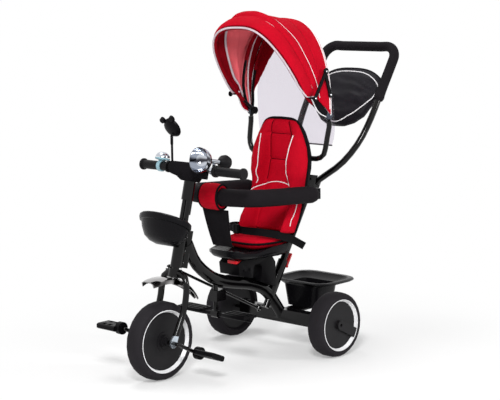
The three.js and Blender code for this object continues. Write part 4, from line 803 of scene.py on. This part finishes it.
DOME = [(0, 3.4), (1.2, 3.4), (2.0, 2.9), (2.6, 1.9), (2.9, 0.6)]
for s, side in SIDES:
    for place, x, (y, z), r in (("front", STAY_OUT, (-31, 814.5), 9), ("knuckle", STAY_OUT, (22, 895), 10.5),
                                ("rear", STAY_OUT - 3.8, (46, 820), 9)):
        body = f"{side}_stay_{'rear' if place == 'rear' else 'front'}"
        plate = [(-3, r - 0.8), (-2.6, r), (0.2, r), (0.8, r - 0.8)]
        wear(disc(f"stay_{place}_disc_{side}", x, y, z, s, plate, plastic), body, "black_plastic")
        wear(disc(f"stay_{place}_bolt_{side}", x + 0.7, y, z, s, DOME, steel), body, "zinc")
    barrel = [(0, 12.5), (1, 14.2), (13, 14.2), (14, 12.5)]
    wear(disc(f"canopy_socket_{side}", 158, 50, 756, s, barrel, socket_grey), "seat", "black_plastic")

# ---- backrest cushion
BACK_LINE = [(300, -62), (386, -36), (430, -18), (480, -1), (548, 12), (585, 15), (623, 17), (700, 19), (800, 20)]
# height: half width, bolster ridge x and depth, crease x, middle depth
BACK = [(387, 99, 90, 70, 62, 20), (430, 103, 93, 68, 62, 20), (480, 105, 88, 52, 60, 19),
        (520, 106, 78, 42, 57, 17), (548, 107, 71, 50, 53, 15), (575, 111, 68, 58, 49, 13),
        (611, 114, 64, 54, 44, 13), (652, 109, 65, 42, 43, 13), (692, 93, 66, 28, 42, 13),
        (720, 77, 58, 17, 38, 14), (738, 60, 46, 11, 30, 10)]


def back_y(z):
    return lerp_table(BACK_LINE, z)[0]


def back_depth(x, z):
    """Depth of the cushion in front of the plate at a place on its face."""
    wide, ridge_x, ridge, crease, mid = lerp_table(BACK, z)
    x = abs(x)
    crown = 2.2 * sin(pi * min(1, x / crease * 0.5 + 0.5))
    if x <= crease:
        d = mid + crown
        d -= 5 * exp(-(((x - crease) / 5) ** 2))
    elif x <= ridge_x:
        d = mid - 5 + (ridge - mid + 5) * ease((x - crease) / (ridge_x - crease)) ** 0.8
    else:
        s = (x - ridge_x) / (wide - ridge_x)
        d = 6 + (ridge - 6) * sqrt(max(0, 1 - s ** 2.2))
    return d


def channel(z, at_z, wide=4.5, deep=4.5):
    return deep * exp(-(((z - at_z) / wide) ** 2))


SEAMS = (609, 692)  # heights of the sewn channels across the middle panel


def arc_z(x):
    return 538 - 30 * (x / 93) ** 2


def back_front(x, z, lift=0.0):
    d = back_depth(x, z)
    ridge_x = lerp_table(BACK, z)[1]
    if abs(x) < ridge_x:
        d -= sum(channel(z, s) for s in SEAMS) * ease((ridge_x - abs(x)) / 14)
    d -= channel(z, arc_z(x), 4, 3) * ease((100 - abs(x)) / 20)
    d += 0.9 * lumps(x / 26, z / 34, 1) + 0.5 * lumps(x / 9, z / 15, 5)
    return at(x, back_y(z) - max(4, d) - lift, z)


def back_cushion():
    rows, hold = [], []
    foot, top = BACK[0][0], BACK[-1][0]
    for z in np.linspace(foot, top, 78):
        wide = lerp_table(BACK, z)[0]
        end = min((z - foot) / 5, (top - z) / 9, 1)
        ring = []
        for k in range(61):
            u = -1 + 2 * k / 60
            x = wide * (sin(u * pi / 2) * 0.35 + u * 0.65)
            p = back_front(x, z)
            rear = at(x, back_y(z) - 0.6, z)
            ring.append(rear.lerp(p, 0.35 + 0.65 * sqrt(max(0, end))))
            crease = lerp_table(BACK, z)[3]
            near = min(abs(abs(x) - crease) / 6, abs(z - arc_z(x)) / 6, 1)
            if abs(x) < lerp_table(BACK, z)[1]:
                near = min(near, min(abs(z - s) for s in SEAMS) / 7)
            hold.append(1 - ease(near) if 0 < k < 60 and end >= 1 else 1)
        for k in range(13):
            u = 1 - 2 * k / 12
            ring.append(at(wide * u * 0.985, back_y(z) - 0.6, z))
            hold.append(1)
        rows.append(ring)
    hold += [1, 1]
    obj = skin("backrest_cushion_cloth", rows, red_cloth)
    return puff(obj, hold, 2.2, 0.005)


back_obj = wear(back_cushion(), "seat", "red_fabric", "backrest_cushion")


def back_outline():
    left = [(lerp_table(BACK, z)[0] + 0.5, z) for z in np.linspace(390, 731, 30)]
    top = [(52, 738), (40, 740.5), (20, 741.5), (0, 742)]
    half = left + top
    full = half + [(-x, z) for x, z in half[-2::-1]]
    return smooth([at(x, back_y(z) - 4.5, z) for x, z in full], 150)


trim("backrest_edge_binding", back_outline(), 0.0042, BINDING, 10)


def back_curve(pairs, count, lift=0.6):
    path = smooth([Vector((x, 0, z)) for x, z in pairs], count)
    return [back_front(q.x, q.z, lift) for q in path]


# Dark red cords along the sewn channels and the creases: painted shade in the folds.
for k, z in enumerate(SEAMS):
    reach = lerp_table(BACK, z)[3]
    channel_line = [(reach * q, z) for q in (-1, -0.5, 0, 0.5, 1)]
    trim(f"backrest_channel_shade_{k}", back_curve(channel_line, 30, 0.4), 0.0013, CREASE_SHADE)
for s, side in SIDES:
    crease_line = [(s * lerp_table(BACK, z)[3], z) for z in (545, 575, 611, 652, 692, 715, 731)]
    trim(f"backrest_crease_shade_{side}", back_curve(crease_line, 40, 0.4), 0.0017, CREASE_SHADE)
    ridge = [(s * 70, 533), (s * 66, 545), (s * 66, 565), (s * 62, 590), (s * 61, 611), (s * 63, 635), (s * 65, 660),
             (s * 69, 690)]
    trim(f"backrest_piping_{side}", back_curve(ridge, 40), 0.0017, PIPING)
    lower = []
    for z in (412, 440, 470, 500):
        wide, ridge_x = lerp_table(BACK, z)[:2]
        lower.append((s * (ridge_x + 0.86 * (wide - ridge_x)), z))
    trim(f"backrest_lower_piping_{side}", back_curve(lower, 20), 0.0016, PIPING)
arc = [(x, arc_z(x)) for x in np.linspace(-92, 92, 24)]
trim("backrest_arc_piping", back_curve(arc, 50), 0.0016, PIPING)

# ---- seat cushion
SEAT_FRONT, SEAT_REAR = -276, -52
CUSHION_SHARE = 0.68  # of the length of the pan


def pan_ring(grow):
    outline = [(0, SEAT_FRONT), (-46, SEAT_FRONT + 6), (-78, SEAT_FRONT + 28), (-94, SEAT_FRONT + 66),
               (-104, SEAT_FRONT + 122), (-107, SEAT_REAR - 40), (-98, SEAT_REAR - 6), (-60, SEAT_REAR), (0, SEAT_REAR)]
    full = outline + [(-x, y) for x, y in outline[-2:0:-1]]
    cy = (SEAT_FRONT + SEAT_REAR) / 2
    ring = []
    for x, y in full:
        far = hypot(x, y - cy)
        k = (far + grow) / far
        ring.append(Vector((x * k, SEAT_REAR + (cy + (y - cy) * k - SEAT_REAR) * CUSHION_SHARE, 0)))
    return smooth(ring + ring[:1], 73)[:-1]


def seat_cushion():
    rows, hold = [], []
    for grow, z, grip in ((-44, 345, 1), (-24, 352, 1), (-16, 360, 1), (-15, 367, 0.6), (-17, 373, 0.2), (-23, 378, 0),
                          (-33, 381, 0.3), (-36, 379.5, 1), (-40, 381.5, 0.2), (-52, 384, 0), (-66, 385, 0),
                          (-80, 385.5, 0)):
        row = []
        for q in pan_ring(grow):
            dip = 1.2 * lumps(q.x / 30, q.y / 26, 4)
            row.append(at(q.x, q.y, z + dip + 1.6 * (q.y + 150) / 100))
            hold.append(grip)
        rows.append(row)
    return puff(skin("seat_cushion_cloth", rows, red_cloth), hold + [1, 0], 2.0, 0.004)


seat_obj = wear(seat_cushion(), "seat", "red_fabric", "seat_cushion")
rim = [at(q.x, q.y, 366 + 1.6 * (q.y + 150) / 100) for q in pan_ring(-13.5)]
trim("seat_cushion_binding", rim + rim[:1], 0.0034, BINDING, 10, rounded=False)

# ---- bumper, pad, straps
BUMPER = [(137, -6, 508), (137, -80, 513), (136, -165, 518), (130, -238, 523), (110, -281, 526), (58, -299, 526),
          (0, -302, 526)]
bumper_path = smooth([at(*p) for p in BUMPER] + [at(-x, y, z) for x, y, z in BUMPER[-2::-1]], 120)


def foam_radius(share):
    return 0.027 + 0.0004 * lumps(share * 40, 0, 0)


bumper = wear(tube("bumper_foam", bumper_path, foam_radius, foam, 36), "bumper", "foam_rubber", "bumper_ring")


def bumper_pad():
    span = [p for p in bumper_path if abs(p.x) <= 0.039]
    path = evenly(span, 40)
    outer, inner, hold = [], [], []
    for j, (p, (ahead, _, _)) in enumerate(zip(path, frames(path))):
        up = Vector((0, 0, 1))
        side = ahead.cross(up).normalized()
        share = j / (len(path) - 1)
        swell = sin(pi * share) ** 0.5
        ring_o, ring_i = [], []
        for a in circle(40):
            w = 0.9 * lumps(share * 4, cos(a) * 1.6, sin(a) * 1.6)
            tall, deep = 0.0375 + 0.0035 * swell + w / 1000, 0.0300 + 0.0025 * swell + w / 1000
            ring_o.append(p + up * (cos(a) * tall) + side * (sin(a) * deep))
            ring_i.append(p + up * (cos(a) * 0.0279) + side * (sin(a) * 0.0279))
            hold.append(1 - ease(min(share, 1 - share) * 6))
        outer.append(ring_o)
        inner.append(ring_i)
    rows = inner[:1] + outer + inner[:0:-1]
    points = [p for row in rows for p in row]
    faces, uvs = [], []
    m, count = len(rows), len(rows[0])
    for j in range(m):
        l = (j + 1) % m
        for i in range(count):
            k = (i + 1) % count
            faces.append((j * count + i, j * count + k, l * count + k, l * count + i))
            u0, u1 = i * 0.0055, (i + 1) * 0.0055
            uvs += [(u0, j * 0.003), (u1, j * 0.003), (u1, (j + 1) * 0.003), (u0, (j + 1) * 0.003)]
    obj = new_object("bumper_pad_cloth", points, faces, red_cloth, uvs)
    grips = [1] * count + hold + [1] * count * (m - len(outer) - 1)
    return puff(obj, grips, 1.5, 0.003), outer


pad, pad_rings = bumper_pad()
wear(pad, "bumper", "red_fabric", "bumper_pad")
for ring, side in ((pad_rings[0], "left"), (pad_rings[-1], "right")):
    trim(f"bumper_pad_binding_{side}", ring + ring[:1], 0.0034, BINDING, 10, False, "bumper")


def strap(name, path, wide, thick, material, across=(0, 0, 1)):
    """A flat strap along a path: its width lies along a given direction and its edges are rounded."""
    rows = []
    for p, (ahead, _, _) in zip(path, frames(path)):
        w = (Vector(across) - ahead * ahead.dot(Vector(across))).normalized()
        out = ahead.cross(w).normalized()
        half = (wide(p) if callable(wide) else wide) / 2
        t = thick / 2
        prof = [(-1, 0.3), (-0.97, 0.9), (-0.9, 1), (-0.86, 0.62), (-0.4, 0.7), (0, 0.75), (0.4, 0.7), (0.86, 0.62),
                (0.9, 1), (0.97, 0.9), (1, 0.3)]
        ring = [p + w * (half * a) + out * (t * b) for a, b in prof]
        ring += [p + w * (half * a) - out * (t * b) for a, b in prof[::-1]]
        rows.append(ring)
    return skin(name, rows, material)


BELT = [(131, -34, 347), (109, -66, 370), (105.4, -96, 381), (98, -128, 392), (78, -153, 399),
        (45, -168, 402), (0, -172, 402), (-45, -168, 404), (-82, -150, 403), (-103.9, -104, 399), (-103.5, -62, 392)]
belt_mid = smooth([at(*p) for p in BELT], 90)
belt_obj = wear(strap("lap_belt_webbing", belt_mid, 0.024, 0.0028, webbing), "seat", "black_fabric", "lap_belt")


def buckle():
    rows = []
    profile = [(-18, 0.72), (-17, 0.9), (-11, 1), (-3, 1), (-1, 0.9), (1, 0.9), (3, 1), (11, 1), (17, 0.9), (18, 0.72)]
    for x, k in profile:
        ring = []
        for a in circle(20):
            c, s = cos(a), sin(a)
            w = 5.6 * k * copysign(abs(c) ** 0.5, c)
            h = 15.5 * k * copysign(abs(s) ** 0.5, s)
            ring.append(at(-30 + x * 0.72, -173 + w, 404 + h))
        rows.append(ring)
    return skin("lap_belt_buckle", rows, plastic)


wear(buckle(), "seat", "black_plastic")
crotch_path = smooth([at(0, y, z) for y, z in [(-296, 485), (-289, 450), (-280, 410), (-267, 367)]], 40)


def crotch_width(p):
    return lerp_table([(0.367, 0.082), (0.410, 0.092), (0.450, 0.102), (0.485, 0.110)], p.z)[0]


crotch = wear(strap("crotch_strap_cloth", crotch_path, crotch_width, 0.0055, dark_cloth, (1, 0, 0)), "bumper",
              "black_fabric", "crotch_strap")

# ---- parent handle: foam and bag
POST = 376
FOAM_START = 326
side_points = [(11.5, -12), (28, 20), (62, 50), (92, 80), (119, 125), (138, 178), (147, 240), (150, 300), (150, 370),
               (152, 453), (151, 481), (138, 503), (116, 515), (80, 515), (0, 515)]
loop = [handle(x, 0, POST + z) for x, z in side_points]
loop += [handle(-x, 0, POST + z) for x, z in side_points[-2::-1]]
handle_path = smooth(loop, 400)
foam_path = [p for p in handle_path if p.z > handle(0, 0, POST + FOAM_START).z]
foam_path = evenly(foam_path, 160)


def sleeve_radius(share):
    r = 0.0163 + 0.0002 * lumps(share * 60, 2, 0)
    edge = min(share, 1 - share) * 160
    return r + 0.0012 * exp(-edge * edge / 3) if edge < 6 else r


handle_sleeve = wear(tube("handle_foam_sleeve", foam_path, sleeve_radius, foam, 32), "parent_handle", "foam_rubber",
                     "handle_foam")

# height share, width share, depth share of the bag's level slices
BAG = [(0, 0.3, 0.3), (0.07, 0.55, 0.6), (0.2, 0.78, 0.85), (0.5, 0.97, 1), (0.85, 1, 0.9), (1, 0.99, 0.66)]
BAG_TOP, BAG_FOOT, BAG_HALF, BAG_FRONT, BAG_BACK = 430, 226, 128, -14, 46


def bag_point(angle, share, grow=0.0):
    wide, deep = lerp_table(BAG, share)
    c, s = cos(angle), sin(angle)
    x = BAG_HALF * wide * copysign(abs(c) ** 0.8, c)
    y = (BAG_FRONT + BAG_BACK) / 2 + (BAG_BACK - BAG_FRONT) / 2 * deep * copysign(abs(s) ** 0.8, s)
    z = BAG_FOOT + (BAG_TOP - BAG_FOOT) * share
    fold = 4.2 * lumps(x / 60, y / 30, z / 26) + 2.6 * lumps(x / 40, 3, z / 11 + x / 30)
    fold *= sin(pi * min(1, max(0, share * 0.9 + 0.05)))
    sag = 5 * sin(pi * share) * (1 if s < 0 else 0.4)
    y += (fold + grow) * (1 if s > 0 else -1) * abs(s) - sag * abs(s) * (1 if s < 0 else -1) * 0.3
    dip = -34 * share ** 4 * abs(x / BAG_HALF) ** 3
    return handle(x, y, POST + z + dip)


def storage_bag():
    rows = [[bag_point(a, j / 40) for a in circle(72)] for j in range(41)]
    return skin("storage_bag_cloth", rows, bag_cloth)


wear(storage_bag(), "parent_handle", "black_fabric", "storage_bag")
top_line = [bag_point(2 * pi * i / 72, 1.0) for i in range(73)]
trim("bag_top_binding", top_line, 0.0018, BINDING, rounded=False, body="parent_handle")


def panel_edge(u):
    """The piped outline of the bag's front panel: wide at two thirds of its height, and round below."""
    c, q = cos(u), sin(u)
    share = 0.66 + (0.27 * q ** 0.6 if q > 0 else 0.63 * q)
    across = 0.985 * c
    angle = 2 * pi - acos(across)
    return bag_point(angle, share, 1.0)


under = [panel_edge(u) for u in np.linspace(0, 2 * pi, 120)]
trim("bag_edge_piping", under, 0.0018, PIPING, rounded=False, body="parent_handle")

# ---- bright edge of the trim rings


def ring_edge(x, y, z, radius):
    return [at(x, y + radius * cos(a), z + radius * sin(a)) for a in np.linspace(0, 2 * pi, 97)]


# x and radius of the edge
FRONT_EDGE, REAR_EDGE = (26.0, 94), (REAR_TRACK + 28.5, 80.5)
for s, side in SIDES:
    for end, body, wheel, (x, radius) in (("front", "front_wheel", FRONT_WHEEL, FRONT_EDGE),
                                          ("rear", f"{side}_rear_wheel", REAR_WHEEL, REAR_EDGE)):
        ring = ring_edge(s * x, *wheel, radius)
        trim(f"{end}_ring_edge_{side}", ring, 0.0013, BEAD, rounded=False, body=body)

# ---- rear window film
# height, half width, distance behind the hoop
WINDOW = [(656, 148, 27), (676, 157, 26), (705, 163, 25), (760, 164, 22), (810, 162, 17), (850, 156, 12), (900, 145, 6),
          (950, 130, 2), (1010, 90, 0), (1032, 58, 0)]


def window_rows(back):
    rows = []
    for z in np.linspace(WINDOW[0][0], WINDOW[-1][0], 60):
        wide, flare = lerp_table(WINDOW, z)
        y = rear_hoop_y(z) + 5.3 + flare
        row = []
        for i in range(49):
            x = wide * (-1 + i / 24)
            ripple = 1.5 * lumps(x / 60, z / 160, 7) * min(1, (WINDOW[-1][0] - z) / 60)
            row.append(at(x, y + max(0, ripple) + back, z))
        rows.append(row)
    return rows


film = sheet_shell("rear_window_film", window_rows(0), window_rows(0.8), window_film)
wear(film, "seat", "window_film", "rear_window")
trim("window_hem", window_rows(0.4)[0], 0.0024, HEM)

for obj, slot in rear_bits:
    wear(obj, "seat", slot)
wear(rear, "seat", "red_fabric", "canopy_rear_fabric")
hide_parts("canopy_front_fabric")
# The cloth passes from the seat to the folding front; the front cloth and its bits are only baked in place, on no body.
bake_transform(front)
for obj, slot in front_bits:
    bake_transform(obj)

# ---- studio
TARGET = Vector((0, -0.250 + AXLE_Y, 0.500))
AZIMUTH, ELEVATION, ROLL = radians(43.298), radians(8.529), radians(-1.009)
DISTANCE = 4.6
RIGHT_SHIFT, UP_SHIFT = 0.07515, 0.00663
right = Vector((cos(AZIMUTH), sin(AZIMUTH), 0))
back = Vector((sin(AZIMUTH) * cos(ELEVATION), -cos(AZIMUTH) * cos(ELEVATION), sin(ELEVATION)))
up = back.cross(right)
camera = bpy.data.objects.new("camera", bpy.data.cameras.new("camera"))
bpy.context.scene.collection.objects.link(camera)
bpy.context.scene.camera = camera
camera.location = TARGET + right * RIGHT_SHIFT + up * UP_SHIFT + back * DISTANCE
rolled_right = right * cos(ROLL) + up * sin(ROLL)
rolled_up = up * cos(ROLL) - right * sin(ROLL)
turn = Matrix((rolled_right, rolled_up, back)).transposed()
camera.rotation_mode = "QUATERNION"
camera.rotation_quaternion = turn.to_quaternion()
SENSOR_WIDTH, PICTURE_WIDTH = 36, 500  # mm, and pixels of the picture
camera.data.sensor_width = SENSOR_WIDTH
camera.data.lens = SENSOR_WIDTH * 1488.06 / PICTURE_WIDTH  # from a focal length in pixels
camera.data.clip_end = 60


def seen_rays(tree):
    """1 for the camera's rays, straight, off gloss or through film, and 0 for the light that falls on things."""
    path = tree.nodes.new("ShaderNodeLightPath")
    seen = path.outputs["Is Camera Ray"]
    for ray in ("Is Glossy Ray", "Is Transmission Ray"):
        both = tree.nodes.new("ShaderNodeMath")
        both.operation = "MAXIMUM"
        tree.links.new(seen, both.inputs[0])
        tree.links.new(path.outputs[ray], both.inputs[1])
        seen = both.outputs[0]
    return seen


def floor():
    """Keeps the shadow near the tricycle, and fades to white farther off."""
    s = Stuff("studio_floor", rgb(250, 250, 250), 0.9)
    glow = s.node("ShaderNodeEmission", Color=(1, 1, 1, 1))
    place = s.node("ShaderNodeTexCoord")
    far = s.node("ShaderNodeVectorMath", operation="LENGTH")
    s.link(place.outputs["Object"], far.inputs[0])
    fade = s.node("ShaderNodeMapRange", interpolation_type="SMOOTHSTEP")
    for key, v in (("From Min", 0.35), ("From Max", 1.15), ("To Min", 0.3)):
        fade.inputs[key].default_value = v
    s.link(far.outputs["Value"], fade.inputs["Value"])
    mixed(s.tree, "Material Output", s.math("MULTIPLY", fade.outputs["Result"], seen_rays(s.tree)), s.shader, glow)
    size = 30
    plate = new_object("studio_floor", [(-size, -size, 0), (size, -size, 0), (size, size, 0), (-size, size, 0)],
                       [(0, 1, 2, 3)], s.m, closed=False)


floor()

world = bpy.data.worlds.new("studio")
bpy.context.scene.world = world
world.use_nodes = True
tree = world.node_tree
ambient, seen_white = tree.nodes["Background"], tree.nodes.new("ShaderNodeBackground")
for background, strength in ((ambient, 0.42), (seen_white, 1.0)):
    background.inputs["Color"].default_value = (1, 1, 1, 1)
    background.inputs["Strength"].default_value = strength
mixed(tree, "World Output", seen_rays(tree), ambient, seen_white)


def lamp(name, place, aim, size, power):
    data = bpy.data.lights.new(name, "AREA")
    data.shape, data.size, data.energy = "DISK", size, power
    obj = bpy.data.objects.new(name, data)
    obj.location = place
    obj.rotation_mode = "QUATERNION"
    obj.rotation_quaternion = (Vector(aim) - Vector(place)).to_track_quat("-Z", "Y")
    bpy.context.scene.collection.objects.link(obj)


lamp("key", (2.3, -2.7, 2.7), (0, 0, 0.6), 0.9, 112)
lamp("side", (3.2, 1.2, 1.7), (0, 0, 0.5), 0.6, 30)
lamp("top", (-0.9, -0.2, 3.6), (0, 0, 0.4), 1.6, 40)
bpy.context.scene.view_settings.view_transform = "Standard"
